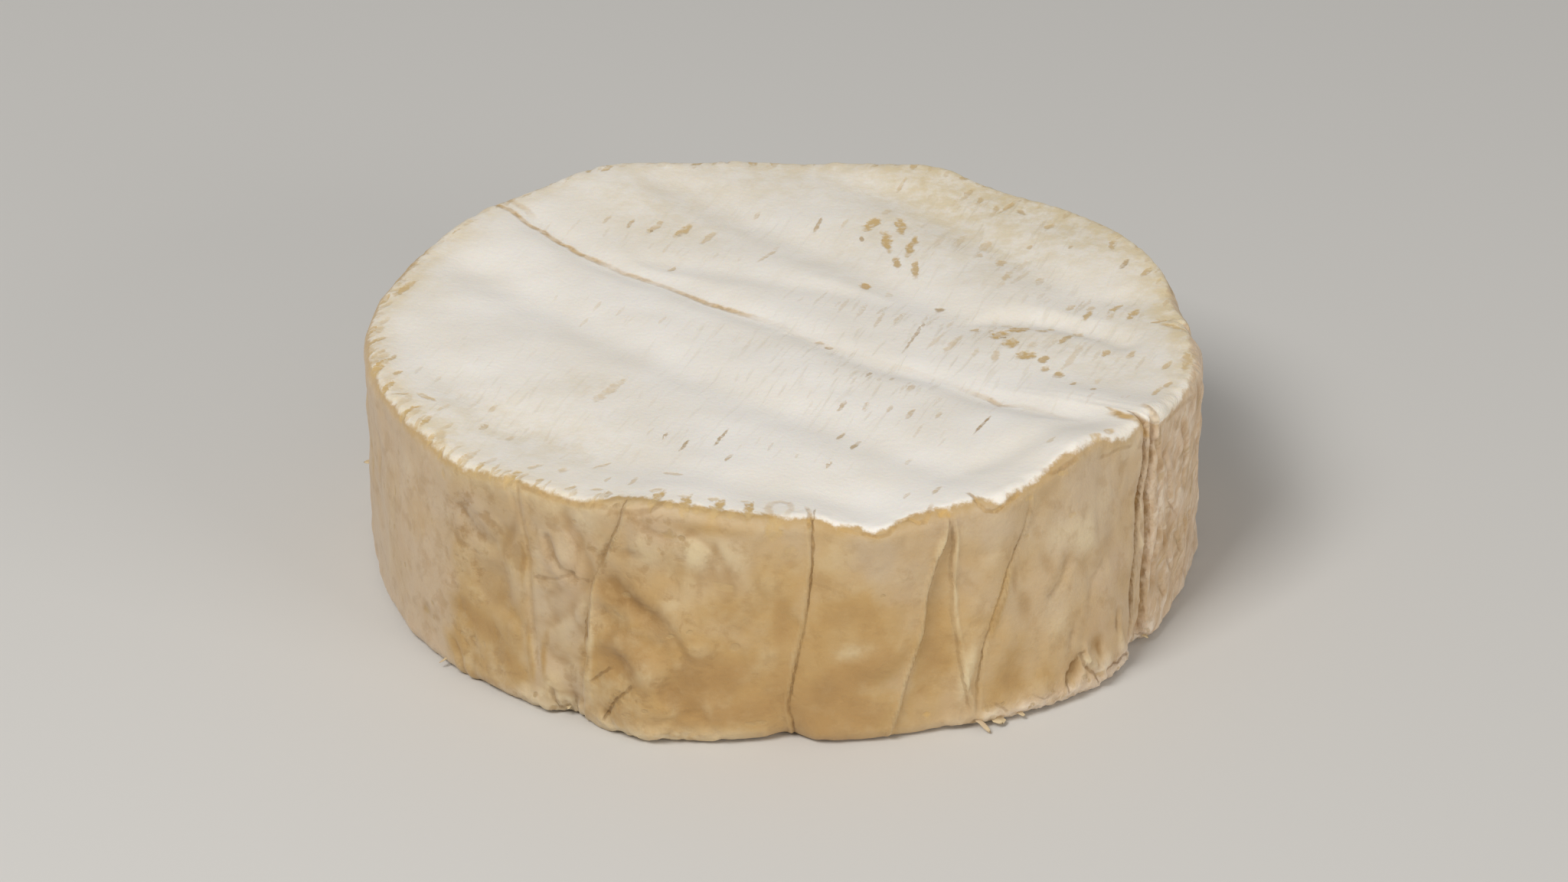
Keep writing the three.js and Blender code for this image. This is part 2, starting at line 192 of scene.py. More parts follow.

# %% [markdown]
# ## The folds in the wall
#
# Paper was folded round the wheel while it was soft, and each fold of it pressed a line into the
# wall. Such a line is a narrow groove. Beside it the wall often stands further out, as a ledge that
# dies away over a few millimetres, and a small rib of rind is pushed up next to the groove. Cutting
# these with a knife brush would work too, but as a function of bearing and height each one stays
# where it is told.

# %% Folds from the rim to the foot
# Each fold is its path of (bearing, height, strength of its dark line) from the top down, its
# groove's depth and half width, its ledge, its rib, and its line's half width. A ledge or a rib
# below 0 is on the left. A line stronger than 1 stays full where the skin is patchy. The dark line
# is partly a brown stain in the groove and partly painted shade there.
FOLDS = [
    ([(-127.7, 31.4, 0.3), (-126.9, 29.5, 0.25), (-126.2, 26.4, 0.15), (-125.3, 23, 0.15),
      (-124.7, 18.1, 0.15), (-124.4, 13, 0.15), (-123.6, 8, 0.1)], 0.16, 0.34, -0.2, 0.1, 0.22),
    ([(-110.8, 32, 0.6), (-111.4, 29.1, 0.45), (-113.2, 25.1, 0.5), (-114.3, 22.4, 0.45),
      (-115.4, 20.4, 0.35), (-115.7, 16.8, 0.1), (-115.9, 15, 0.7), (-116.1, 12.6, 0.75),
      (-116.1, 11.2, 0.1), (-116.2, 9, 0), (-117.2, 0, 0)], 0.22, 0.3, 0.12, 0.34, 0.16),
    ([(-85.2, 32.8, 0.9), (-85.8, 29.1, 0.9), (-86, 26.2, 0.75), (-86.2, 22.2, 0.95),
      (-86.4, 20.6, 0.8), (-87, 17.6, 0.5), (-87.4, 14.6, 0.35), (-88.1, 10.8, 0.7), (-88.6, 8.4, 0.8),
      (-89, 5.4, 0.5), (-88.6, 2.4, 0.9), (-88.3, 0, 1)], 0.26, 0.28, -0.2, -0.26, 0.15),
    ([(-67.6, 28.9, 0), (-68.1, 26.6, 0.3), (-69.4, 24.2, 0.45), (-70.4, 20.4, 0.3), (-71.2, 15, 0.45),
      (-72.4, 12, 0.3), (-73.4, 9, 0.35), (-74.4, 4.3, 0.3), (-75.1, 1.5, 0)], 0.1, 0.26, -0.3, -0.45,
      0.13),
    ([(-67.7, 28.9, 0.1), (-67.5, 26, 0.4), (-67.8, 22.6, 0.3), (-67.5, 17, 0.2), (-66.8, 10.6, 0.4),
      (-65.9, 6.5, 0.45), (-65.4, 3.9, 0.4)], 0.14, 0.28, 0.35, 0.34, 0.15),
    ([(-55.8, 28.6, 0), (-56.9, 26.1, 0.35), (-58.3, 23.6, 0.85), (-59.5, 21.4, 0.85),
      (-61.3, 17.2, 0.5), (-62.7, 13.4, 0.5), (-63.6, 11.2, 0.9), (-63.8, 9.4, 0.75),
      (-64.2, 6.4, 0.45), (-64.4, 3.8, 0.2)], 0.2, 0.26, -0.16, 0.16, 0.14),
    ([(-31.4, 33, 0.8), (-31.2, 30.7, 1.1), (-31.7, 27.6, 1.2), (-32.4, 23.5, 1.2), (-33.6, 18.9, 1.2),
      (-34.8, 14.2, 1.4), (-35.4, 10.6, 1.5), (-35.8, 6.8, 1.4), (-36.3, 4, 0.8), (-36.6, 0, 0.3)], 1.2,
      0.36, -0.2, 0.25, 0.42),
    ([(-29.6, 30.5, 0.2), (-29.8, 28, 0.9), (-30.3, 24, 0.9), (-30.9, 20.9, 1), (-31.2, 15.3, 0.9),
      (-31.8, 10.6, 0.9), (-32.4, 5.2, 0.9), (-32.8, 2, 0.2)], 0.9, 0.32, 0.3, 0.2, 0.3),
    ([(3, 31, 0.3), (1.5, 22, 0.4), (1, 14, 0.3), (2, 0, 0.4)], 0.6, 0.4, 0.4, 0.2, 0.22),
    ([(27, 26, 0.2), (25.5, 20, 0.6), (24, 15, 0.6), (25, 0, 0.5)], 1.0, 0.45, -0.4, -0.2, 0.26),
    ([(46, 27, 0.2), (48.5, 20, 0.5), (50, 15, 0.3), (53, 2, 0.3)], 0.5, 0.35, 0.5, 0.2, 0.2),
    ([(71, 26, 0.2), (70, 20, 0.6), (70, 13, 0.7), (73, 0, 0.5)], 1.1, 0.45, 0.3, -0.2, 0.26),
    ([(98, 31, 0.3), (96, 24, 0.5), (94, 18, 0.3), (93, 4, 0.2)], 0.5, 0.35, -0.5, 0.2, 0.2),
    ([(121, 27, 0.2), (123, 20, 0.6), (123, 14, 0.5), (122, 0, 0.5)], 0.9, 0.45, 0.4, 0.2, 0.24),
    ([(146, 28, 0.2), (144, 21, 0.5), (142, 16, 0.4), (143, 0, 0.3)], 0.6, 0.35, 0.4, -0.2, 0.2),
    ([(168, 25, 0.2), (170, 20, 0.4), (171, 15, 0.3), (170, 0, 0.3)], 0.5, 0.35, -0.3, 0.15, 0.2),
]
print("folds:", len(FOLDS))

# %% What a fold does to the wall
LEDGE_REACH = 4
LEDGE_STEEPNESS = 0.35
FOLD_FADE = 2  # a fold dies away over this height past its ends
LINE_STRAY = 0.4  # how far a line strays from its path
DIP_WIDTH, DIP_SHARE = 2.6, 0.2  # the soft dip round a groove, in its half widths and depths
RIB_PLACE, RIB_WIDTH = 1.8, 0.9  # a rib's distance from its groove and its spread, in half widths


def fold_offset(path, bearing, height, wobble):
    """How far to the right of a fold a point is, and how strongly the fold shows at its height."""
    bearings, heights, _ = np.array(path[::-1], dtype=float).T
    strayed = height + LINE_STRAY * wobble
    offset = arc(bearing, np.interp(strayed, heights, bearings)) + LINE_STRAY * wobble
    below = step((heights[0] - height) / FOLD_FADE)
    above = step((height - heights[-1]) / FOLD_FADE)
    return offset, 1 - np.maximum(below, above)


def fold_sums(bearing, height, wobble):
    """The sums of the folds' change of radius and of their ribs' height. The ribs' height also
    paints them pale, as painted highlight.

    A groove is a narrow bell in a shallow wide one. The rib is a third bell beside them, and the
    ledge is a step from side to side that dies away both ways."""
    sums = np.zeros((2, *np.broadcast(bearing, height).shape))
    for path, depth, half_width, ledge, rib, _ in FOLDS:
        offset, strength = fold_offset(path, bearing, height, wobble)
        groove = bell(offset, half_width) + DIP_SHARE * bell(offset, DIP_WIDTH * half_width)
        crest = abs(rib) * bell(offset - np.sign(rib) * RIB_PLACE * half_width, RIB_WIDTH * half_width)
        side = np.tanh(offset / LEDGE_STEEPNESS) * bell(offset, LEDGE_REACH)
        sums += strength * np.array([ledge / 2 * side + crest - depth * groove, crest])
    return sums


some_bearings = np.arange(-180.0, 180.0)
deepest = -fold_sums(some_bearings, HEIGHT / 2, 0)[0].min()
print("folds at half height sink the wall by up to", deepest.round(2), "mm")

# %% [markdown]
# Short creases run at all angles between the folds, where the rind wrinkled as it dried. Here the
# distance to a line through a few points does the work, in the plane of the unrolled wall.

# %% Short creases
# Each crease is its path of (bearing, height), its depth, its half width and its line's strength.
# Its dark line is partly a brown stain and partly painted shade in the crease, and the wide, faint
# ones are painted shade only.
CREASES = [
    ([(-136.9, 23.6), (-135.2, 22.2), (-133.2, 21.1), (-131.6, 20.9)], 0.35, 1.1, 0.18),
    ([(-121.9, 24.8), (-121, 22.6), (-119.9, 21.2), (-118.4, 20.5)], 0.4, 0.46, 0.32),
    ([(-123.6, 18.8), (-121, 19.2), (-118.5, 20.4), (-115.9, 20)], 0.3, 0.4, 0.28),
    ([(-121.2, 3.6), (-120.9, 1.4)], 0.3, 0.34, 0.6),
    ([(-118.3, 3.2), (-118.2, 1.2)], 0.3, 0.3, 0.5),
    ([(-139.1, 4.7), (-137.5, 3), (-136.8, 0.4)], 0.3, 0.5, 0.2),
    ([(-134, 14), (-131, 12.5), (-127, 12.2)], 0.3, 0.8, 0.1),
    ([(-113.1, 2.3), (-110.9, 5.8), (-109.1, 7.7)], 0.55, 0.36, 0.7),
    ([(-114.3, 7.6), (-112.3, 9.4)], 0.3, 0.32, 0.55),
    ([(-113.2, 16.5), (-110.9, 15.9), (-108.8, 17.6), (-107.5, 15.1), (-105.2, 13.3), (-103.8, 10.6),
      (-103.1, 7.8)], 0.35, 1.4, 0.08),
    ([(-106, 3), (-103, 4.6), (-100, 5.2)], 0.3, 0.6, 0.15),
    ([(-112.6, 20.9), (-110.4, 20), (-108.3, 18.2), (-106.4, 17.4)], 0.35, 0.9, 0.12),
    ([(-85.9, 22.1), (-84, 21.9), (-82.2, 21.4)], 0.14, 0.3, 0.1),
    ([(-50, 19.4), (-51.1, 17.4), (-53, 15.9)], 0.25, 0.6, 0.22),
    ([(-43.3, 16.7), (-45.6, 15.2), (-46.4, 13.2)], 0.22, 0.6, 0.2),
    ([(-43.8, 2.5), (-42, 2.8), (-40.7, 2.3), (-39.2, 2.3), (-37.8, 1.6)], 0.3, 0.34, 0.7),
    ([(-47.8, 6.4), (-49.2, 5.4), (-50.5, 3.8), (-50.4, 2.2)], 0.35, 0.34, 0.6),
    ([(-47.9, 6), (-47.3, 4.4), (-46, 2.8), (-45.2, 1.4)], 0.35, 0.34, 0.7),
    ([(-40.7, 8.4), (-40.8, 6.8)], 0.25, 0.4, 0.5),
    ([(-50, 9.4), (-50.4, 7.6)], 0.2, 0.5, 0.3),
    ([(-56, 2.8), (-54.4, 1.8), (-53.2, 2.4)], 0.25, 0.3, 0.3),
    ([(-61.6, 2.6), (-60.4, 1.6)], 0.25, 0.3, 0.4),
    ([(-33.6, 2.2), (-32.8, 4.4), (-33.2, 6)], 0.25, 0.34, 0.7),
    ([(-32.2, 1.5), (-30.4, 1.2)], 0.25, 0.3, 0.6),
    ([(-29.2, 28), (-28.2, 23), (-28.8, 17), (-29.6, 12), (-29.9, 8)], 0.35, 0.4, 0.25),
    ([(-27.6, 14.8), (-26, 11.8)], 0.35, 0.35, 0.45),
    ([(-25.3, 18), (-23, 15.4)], 0.35, 0.35, 0.4),
    ([(-26.6, 25), (-25, 21.6), (-25.6, 18.6)], 0.3, 0.4, 0.25),
    ([(-22.8, 12), (-20.9, 9)], 0.35, 0.35, 0.45),
    ([(-25.4, 10), (-23.7, 7.4)], 0.35, 0.35, 0.4),
    ([(-27.7, 7.2), (-26.1, 4.8)], 0.35, 0.35, 0.4),
    ([(-16.4, 12.6), (-14.9, 9.6)], 0.3, 0.35, 0.4),
    ([(-21, 27), (-20, 22), (-20.6, 18)], 0.3, 0.45, 0.25),
    ([(-19, 13), (-17.5, 8), (-18.2, 4)], 0.3, 0.4, 0.25),
    ([(-14, 24), (-12.6, 17), (-13.2, 13)], 0.3, 0.45, 0.25),
    ([(-8, 28), (-6.5, 20), (-7, 15)], 0.25, 0.4, 0.25),
    ([(11, 22), (14, 20.5), (18, 20.8)], 0.4, 0.45, 0.3),
    ([(13, 12), (16, 9), (20, 8.5)], 0.35, 0.45, 0.3),
    ([(33, 20), (36, 17), (37, 13)], 0.35, 0.45, 0.3),
    ([(57, 17), (61, 16.2), (65, 17)], 0.4, 0.45, 0.35),
    ([(80, 9), (83, 7), (88, 6.6)], 0.4, 0.5, 0.35),
    ([(82, 22), (86, 20), (90, 20.5)], 0.35, 0.45, 0.3),
    ([(105, 15), (109, 12), (114, 12.6)], 0.4, 0.45, 0.35),
    ([(130, 22), (134, 20), (138, 20.2)], 0.4, 0.45, 0.35),
    ([(152, 13), (156, 10.5), (161, 10)], 0.35, 0.5, 0.3),
    ([(176, 20), (178, 16), (177, 10)], 0.25, 0.45, 0.2),
]
print("short creases:", len(CREASES))

# %% What a crease does to the wall
# The rind pushed up round a crease: its distance and spread in half widths, and its share of the depth.
SHOULDER_PLACE, SHOULDER_WIDTH, SHOULDER_SHARE = 2.2, 1.2, 0.4


def distance_to(path, across, up):
    """The distance from points to a line through the path's points: the least of the distances to
    its straight pieces. The nearest point of a piece is at a share of it held between 0 and 1."""
    least = np.full(np.broadcast(across, up).shape, np.inf)
    for (x, y), (next_x, next_y) in zip(path[:-1], path[1:]):
        run, rise = next_x - x, next_y - y
        share = np.clip(((across - x) * run + (up - y) * rise) / (run * run + rise * rise), 0, 1)
        least = np.minimum(least, np.hypot(across - x - share * run, up - y - share * rise))
    return least


def creases(bearing, height, wobble):
    """The wall's change of radius from short creases: a bell sunk along each line, between two low
    shoulders."""
    relief = 0.0
    for path, depth, half_width, _ in CREASES:
        start = path[0][0]
        unrolled = [(arc(at, start), up) for at, up in path]
        across = arc(bearing, start) + LINE_STRAY * wobble
        distance = distance_to(unrolled, across, height + LINE_STRAY * wobble)
        shoulder = bell(distance - SHOULDER_PLACE * half_width, SHOULDER_WIDTH * half_width)
        relief = relief + depth * (SHOULDER_SHARE * shoulder - bell(distance, half_width))
    return relief


deepest = -creases(some_bearings, HEIGHT / 2, 0).min()
print("creases at half height sink the wall by up to", deepest.round(2), "mm")

# %% [markdown]
# Between the folds the paste bulges and sinks, and its colour changes with it: sunk places are
# darker and more golden, their brown partly painted shade, and the crests carry a pale dry film,
# partly painted highlight. So a patch of the wall is one soft oval which has its relief and its
# colours together.

# %% Patches of the wall
# Each patch is its bearing, height, half width, half height and lean in degrees, how far it stands
# out, and how much more golden, brown and pale it is. Its brown is partly painted shade and its pale
# partly painted highlight. Zeros at the end are left out.
PATCHES = [
    (-150, 14, 9, 9, 0, 0.3), (-132, 17, 5.5, 8, 0, -0.55),
    (-120.5, 12, 3.2, 9, 0, 0.15, -0.1, 0, 0.1), (-121, 4, 1.7, 2.2, 0, 0.7, 0.4, 0, 0.5),
    (-122.8, 2.2, 1.2, 1.2, 0, 0.5, -0.2, 0, 1), (-119.4, 2.8, 1.1, 1.5, 0, 0.6, -0.2, 0, 1),
    (-117.6, 1.6, 0.8, 1, 0, 0.4, 0, 0, 0.8), (-125.4, 2.1, 1.4, 1.5, 0, 0.15, 0, 0, 0.9),
    (-107.8, 25.4, 2.2, 2.8, 0, 0.4, -0.3, 0, 0.75), (-107.8, 25.4, 3.6, 4, 0, -0.1, 0, 0.15),
    (-108, 9, 6, 6, 0, 0.6, 0.1), (-110, 16, 5, 9, 0, -0.05, 0.3, 0.35), (-97, 15, 8, 9, 0, 0.4, 0.1),
    (-80, 12, 7, 9, 0, 0.4), (-47, 17, 9, 9, 0, 0.5), (-20, 14, 8, 8, 0, 0.4),
    (-137.4, 10.2, 2.4, 1.5, -20, -0.15, 0.4, 0.55), (-133, 8.6, 2.6, 1.6, -10, -0.15, 0.3, 0.5),
    (-129.4, 6.6, 2.4, 1.5, -15, -0.1, 0.3, 0.5), (-131, 15, 2.6, 3.2, 25, -0.25, 0.2, 0.4),
    (-136.5, 17, 1.6, 2.4, 15, 0.15, 0, 0, 0.3), (-128.4, 17.5, 1.3, 2.6, 20, 0.2, 0, 0, 0.3),
    (-135.5, 24, 3.6, 2.6, 0, 0.1, -0.3, 0.15, 0.25), (-127.8, 10, 1.4, 2.6, 15, 0.15, 0.3, 0, 0.2),
    (-126.2, 19.8, 0.45, 2.4, 0, 0, 0.9, 0.15), (-124.6, 8, 0.45, 3.4, 3, 0.15, 0.9, 0.1),
    (-122.6, 7.9, 0.4, 2.4, 3, 0.1, 0.8, 0.5), (-122.2, 10.6, 0.35, 1.4, 0, 0, 0.4, 0.5),
    (-145.4, 6.5, 1.2, 0.9, 0, -0.1, 0, 0.7), (-143, 6.4, 0.9, 0.7, 20, -0.1, 0, 0.5),
    (-138.7, 3.9, 0.9, 0.6, 0, 0, 0, 0.5), (-145, 21, 0.5, 0.9, 10, 0, 0, 0.4),
    (-154.5, 18.1, 0.6, 0.7, 0, 0, 0, 0.4), (-146, 16.5, 0.5, 0.6, 0, 0, 0, 0.35),
    (-144.8, 14, 0.6, 0.8, 30, 0, 0, 0.35), (-158, 8, 1.2, 3.5, 0, 0.1, 0, 0, 0.4),
    (-162, 20, 0.8, 5, 0, -0.1, 0, 0.3), (-151, 24, 2.4, 2.6, 0, 0.1, 0, 0, 0.35),
    (-130, 1, 5, 1.1, 0, 0, 0.7, 0.35), (-120.5, 1.2, 2.6, 0.9, 0, 0, 0.7, 0.35),
    (-123.5, 21.8, 1.1, 2.4, 10, 0.2, -0.2, 0, 0.4), (-119.2, 23.6, 1.5, 2.8, -15, 0.15, -0.2, 0, 0.3),
    (-119.4, 14, 1.5, 4.2, 0, 0.15, -0.2, 0, 0.35), (-114.9, 12, 0.5, 5.8, -2, 0.3, 0.1, 0, 0.8),
    (-111.2, 19.8, 3.0, 1.5, -8, -0.35, 0.1, 0.9), (-106.4, 17.6, 2.8, 1.5, -30, -0.3, 0.1, 0.6),
    (-109.4, 25.2, 2.2, 0.7, 15, -0.2, 0.1, 0.4), (-111.6, 13, 2.0, 1.8, 10, 0.6, 0.1, 0, 0.7),
    (-106.6, 9.8, 2.0, 2.4, 35, 0.5, 0.1, 0, 0.6), (-109.8, 10, 1.0, 2.6, 40, -0.35, 0.2, 0.6),
    (-104.4, 14.4, 1.4, 2.2, 35, -0.25, 0, 0.4), (-103.4, 7, 1.2, 2.6, 25, -0.35, 0.3, 0.6),
    (-109.5, 4.3, 1.6, 1.2, 0, 0.2, 0.2, 0.4, 0.1), (-101.4, 24.6, 1.2, 3.6, 5, 0.1, 0, 0, 0.45),
    (-100.5, 12.4, 1.6, 3.2, 20, 0.2, 0, 0, 0.35), (-97.5, 18.6, 2.2, 1.6, 0, -0.15, 0.1, 0.35),
    (-99, 9, 4.2, 3, 10, -0.25, 0.4, 0.4), (-96, 4.6, 4, 1.8, 10, 0.2, 0.5, 0.2),
    (-92, 12.4, 1.6, 2.4, -20, 0.15, 0, 0, 0.35), (-89.8, 17.5, 1.2, 3.4, 0, -0.1, 0.3, 0.3),
    (-98.5, 26.6, 5, 2.6, -8, 0.2, -0.2, 0, 0.55), (-92, 22.4, 3, 1.6, -20, 0.2, 0, 0, 0.4),
    (-100, 29.6, 4.6, 0.8, 0, -0.05, 0.4, 0.1), (-83.5, 26, 3, 2.6, 0, 0.15, -0.1, 0, 0.4),
    (-78.4, 26, 3, 3.2, 0, -0.1, -0.5, 0.2, 0.1), (-82, 18.6, 4, 1.8, 8, -0.15, 0.2, 0.4),
    (-82, 15.5, 2.4, 3.4, 10, 0.1, 0, 0, 0.25), (-84.5, 7, 1.6, 3.2, 0, -0.2, 0.2, 0.4),
    (-79, 10.6, 6, 2.2, 24, 0.25, 0.4, 0.25), (-81, 13.2, 3, 1.2, 15, -0.1, 0, 0, 0.45),
    (-78.6, 5.4, 2.8, 1.8, 10, 0.15, 0.3, 0, 0.2), (-69.8, 18, 1.5, 5.5, -10, -0.12, 0.2, 0.3),
    (-68.9, 26.4, 0.5, 2.4, -24, 0.25, 0, 0, 1), (-70.4, 11.5, 3, 4, -10, -0.1, 0.4, 0.1),
    (-71.6, 4.2, 2.2, 2.6, 0, 0.15, 0.5, 0, 0.25), (-67.1, 21, 0.4, 7, 0, 0.1, 0, 0, 0.55),
    (-65.7, 8, 0.8, 4.8, -9, 0.5, 0, 0, 0.85), (-60.7, 17.5, 0.6, 3.6, -20, 0.1, 1, 0, 0.1),
    (-57.4, 15.4, 1.1, 2.4, 10, -0.15, 0.1, 0.5), (-58.4, 19.6, 0.5, 1.8, -10, -0.1, 0, 0.6),
    (-53.2, 20, 0.8, 2.2, 25, -0.1, 0.1, 0.4), (-47.4, 22, 5.2, 2.8, -15, 0.3, -0.3, 0, 0.7),
    (-41.5, 26, 3, 3, 0, 0.1, -0.2, 0, 0.3), (-52, 12, 2.2, 2.4, 0, 0.15, 0, 0, 0.3),
    (-59.4, 7.4, 2.2, 3.4, -15, -0.2, 0.4, 0.4), (-55, 4, 2.4, 2.0, 0, 0.15, 0.4, 0, 0.2),
    (-41.5, 19.5, 1.6, 3.2, -20, -0.15, 0, 0.3), (-45.2, 6.7, 1.2, 1.2, 30, -0.35, 0.3, 0.6),
    (-44.6, 5.4, 0.5, 0.9, 10, -0.3, 0.2, 0.9), (-49.4, 4.6, 0.8, 2, -38, -0.45, 0.2, 1),
    (-46.5, 4.6, 0.42, 2.2, 40, 0.7, 0, 0, 1), (-43.8, 3.5, 1.5, 0.8, 18, 0.3, 0, 0, 0.9),
    (-47.9, 3.6, 0.5, 1.2, -30, 0.3, 0, 0, 0.8), (-39.9, 4.6, 0.6, 1.6, 20, 0.3, 0, 0, 0.8),
    (-38.6, 2.9, 0.6, 0.7, 0, 0.2, 0, 0, 0.8), (-31.2, 2.4, 1, 1.2, 0, 0.4, -0.2, 0, 0.9),
    (-62.4, 1.6, 1.6, 0.8, 0, 0.3, 0, 0, 1), (-57.4, 1.4, 1.4, 0.6, 10, 0.2, 0, 0, 0.9),
    (-49.6, 2.6, 1.8, 1.0, 10, 0.2, 0, 0, 0.6), (-33.2, 15, 0.6, 1.2, 0, 0.7, 0, 0, 1),
    (-32.4, 20, 0.4, 8, 4, 0.1, 0, 0, 0.4), (-28.4, 19.5, 1.6, 4.4, -25, 0.1, -0.1, 0, 1),
    (-20, 24, 1.6, 3, -40, 0.1, 0, 0, 0.8), (-14, 13, 1.4, 3.4, -40, 0.1, 0, 0, 0.8),
    (-25.6, 21.5, 1.0, 3.6, -5, 0.1, 0, 0, 0.35), (-19.5, 10.5, 0.7, 2.6, -20, 0.1, 0, 0, 0.4),
    (-22.5, 6, 0.9, 2.4, -20, -0.15, 0, 0.4), (12, 17, 8, 8, 0, 0.6), (38, 12, 8, 8, 0, 0.4),
    (60, 18, 7, 8, 0, 0.5), (84, 13, 9, 9, 0, 0.6), (109, 17, 8, 8, 0, 0.4), (133, 12, 7, 8, 0, 0.5),
    (157, 17, 8, 9, 0, 0.4),
]
print("patches with their own places:", len(PATCHES))

# %% [markdown]
# The far side has patches of the same kinds, but there they lie by chance, within these limits.

# %% Patches of chance
CHANCE_PATCHES = 110
CHANCE_BEARINGS = (-10, 190)
CHANCE_HEIGHTS = (2, 28)
CHANCE_WIDTHS = (0.5, 1.8)
CHANCE_TALLNESS = (1, 2.6)  # the height over the width
CHANCE_LEAN = (10, 25)  # the mean lean in degrees and its spread
CHANCE_STRENGTHS = (0.25, 0.6)
CHANCE_RELIEF = 0.45


def chance_patches(generator):
    """Patches of chance: a third of them golden and sunk, a third brown and sunk, a third pale and
    raised. Their brown is partly painted shade and their pale partly painted highlight."""
    kind = np.arange(CHANCE_PATCHES) % 3
    half_width = generator.uniform(*CHANCE_WIDTHS, CHANCE_PATCHES)
    strength = generator.uniform(*CHANCE_STRENGTHS, CHANCE_PATCHES)
    bearing = generator.uniform(*CHANCE_BEARINGS, CHANCE_PATCHES)
    height = generator.uniform(*CHANCE_HEIGHTS, CHANCE_PATCHES)
    half_height = half_width * generator.uniform(*CHANCE_TALLNESS, CHANCE_PATCHES)
    lean = generator.normal(*CHANCE_LEAN, CHANCE_PATCHES)
    relief = np.where(kind == 2, CHANCE_RELIEF, -CHANCE_RELIEF) * strength
    colours = [strength * (kind == number) for number in range(3)]
    return np.column_stack([bearing, height, half_width, half_height, lean, relief, *colours])


own_patches = np.transpose(list(zip_longest(*PATCHES, fillvalue=0)))
patches = np.vstack([own_patches, chance_patches(draw)])
print("patches in all:", len(patches))

# %% What patches do to the wall
PATCH_STRAY = 0.5


def patch_sums(bearing, height, wobble):
    """The sums of the patches' relief, golden, brown and pale. A patch is e to the power of minus
    the cube of its distance, in half widths across and half heights up."""
    sums = np.zeros((4, *np.broadcast(bearing, height).shape))
    for at, up, half_width, half_height, lean, *given in patches:
        across = arc(bearing, at) + PATCH_STRAY * wobble
        over = height - up + PATCH_STRAY * wobble
        turned = math.radians(lean)
        along = (across * math.cos(turned) + over * math.sin(turned)) / half_width
        upward = (over * math.cos(turned) - across * math.sin(turned)) / half_height
        inside = np.exp(-np.hypot(along, upward) ** 3)
        sums += inside * np.reshape(given, (4, *[1] * inside.ndim))
    return sums


print("patches at half height:", np.abs(patch_sums(some_bearings, HEIGHT / 2, 0)).max(axis=1).round(2))

# %% [markdown]
# The wall's radius is the sum of all these forms. The edges of the wheel are rounded later.

# %% The wall's radius
def wall_radius(bearing, height, wobble=0.0):
    """The wall's radius before its edges are rounded.

    It passes from the foot's radius to the rim's by an eased step, and the folds, creases, patches
    and notches are added."""
    foot = RADIUS + FOOT_SPREAD + swell(FOOT_SWELLS, bearing)
    rim = RADIUS + swell(RIM_SWELLS, bearing)
    plain = foot + (rim - foot) * step(height / rim_level(bearing))
    notch = swell(FOOT_NOTCHES, bearing) * bell(height, NOTCH_HEIGHT)
    lines = fold_sums(bearing, height, wobble)[0] + creases(bearing, height, wobble)
    return plain + notch + lines + patch_sums(bearing, height, wobble)[0]


def edge_radius(bearing):
    """Where the flat of the top ends and the rounded rim begins."""
    return wall_radius(bearing, HEIGHT) - RIM_ROUND


print("wall at half height:", wall_radius(some_bearings, HEIGHT / 2).min().round(1), "mm and more")

# %% [markdown]
# ## The top
#
# The bars of the rack lie side by side, so their troughs run the same way, from the back left to
# the front right. They are soft except for one, which has a seam in the rind along its far side:
# that one is drawn through more points, because the seam wanders.

# %% Rack troughs
# Each trough is its two ends in plan, how far it bows to the left of them, its depth and its spread.
TROUGHS = [
    ((-52, -1), (9, -49), -8, 0.6, 4.8), ((-48, 27), (21, -39.5), -2.5, 0.85, 4.4),
    ((-17, 47), (25, 3), 0.5, 0.8, 4.2), ((24, 3.5), (44, -3), 3, 0.9, 2.4),
    ((-17, 21.5), (22, 6.5), 0, 0.4, 2.8), ((4, 54), (40, 11), 1.5, 1.0, 4.6),
    ((38, 12), (56, 9), -0.8, 0.8, 3.0), ((20, -40), (39, -28), -1.5, 0.8, 3.0),
]
TROUGH_FADE = 8  # a trough rises towards the rim over this length
TROUGH_AT_RIM = 0.15  # and keeps this share of its depth there
SEAM_TROUGH_PATH = [
    (-40.5, 42.5), (-36, 37), (-33, 32), (-29, 27), (-25, 22), (-20, 18), (-14, 14), (-10, 10), (-5, 6),
    (0, 2), (5, -3), (10, -8), (15, -11), (20, -14), (24, -18), (28, -20.5), (33, -24), (38, -26.5),
]
SEAM_TROUGH = (0.7, 2.5)  # its depth and its spread
print("troughs:", len(TROUGHS) + 1)

# %% The top's height
def bowed_line(start, end, bow, pieces=16):
    """Points on a parabola from start to end: at each share of the way the line is moved to the left
    by bow times 4 times the share times 1 less the share."""
    start, end = np.array(start, dtype=float), np.array(end, dtype=float)
    along = (end - start) / np.linalg.norm(end - start)
    left = np.array([-along[1], along[0]])
    share = np.linspace(0, 1, pieces + 1)[:, None]
    return start + (end - start) * share + left * bow * 4 * share * (1 - share)


def trough_depth(x, y):
    """How far the troughs sink the top: the deepest of their bells."""
    depth, spread = SEAM_TROUGH
    deepest = depth * bell(distance_to(SEAM_TROUGH_PATH, x, y), spread)
    for start, end, bow, depth, spread in TROUGHS:
        line = bowed_line(start, end, bow)
        deepest = np.maximum(deepest, depth * bell(distance_to(line, x, y), spread))
    return deepest


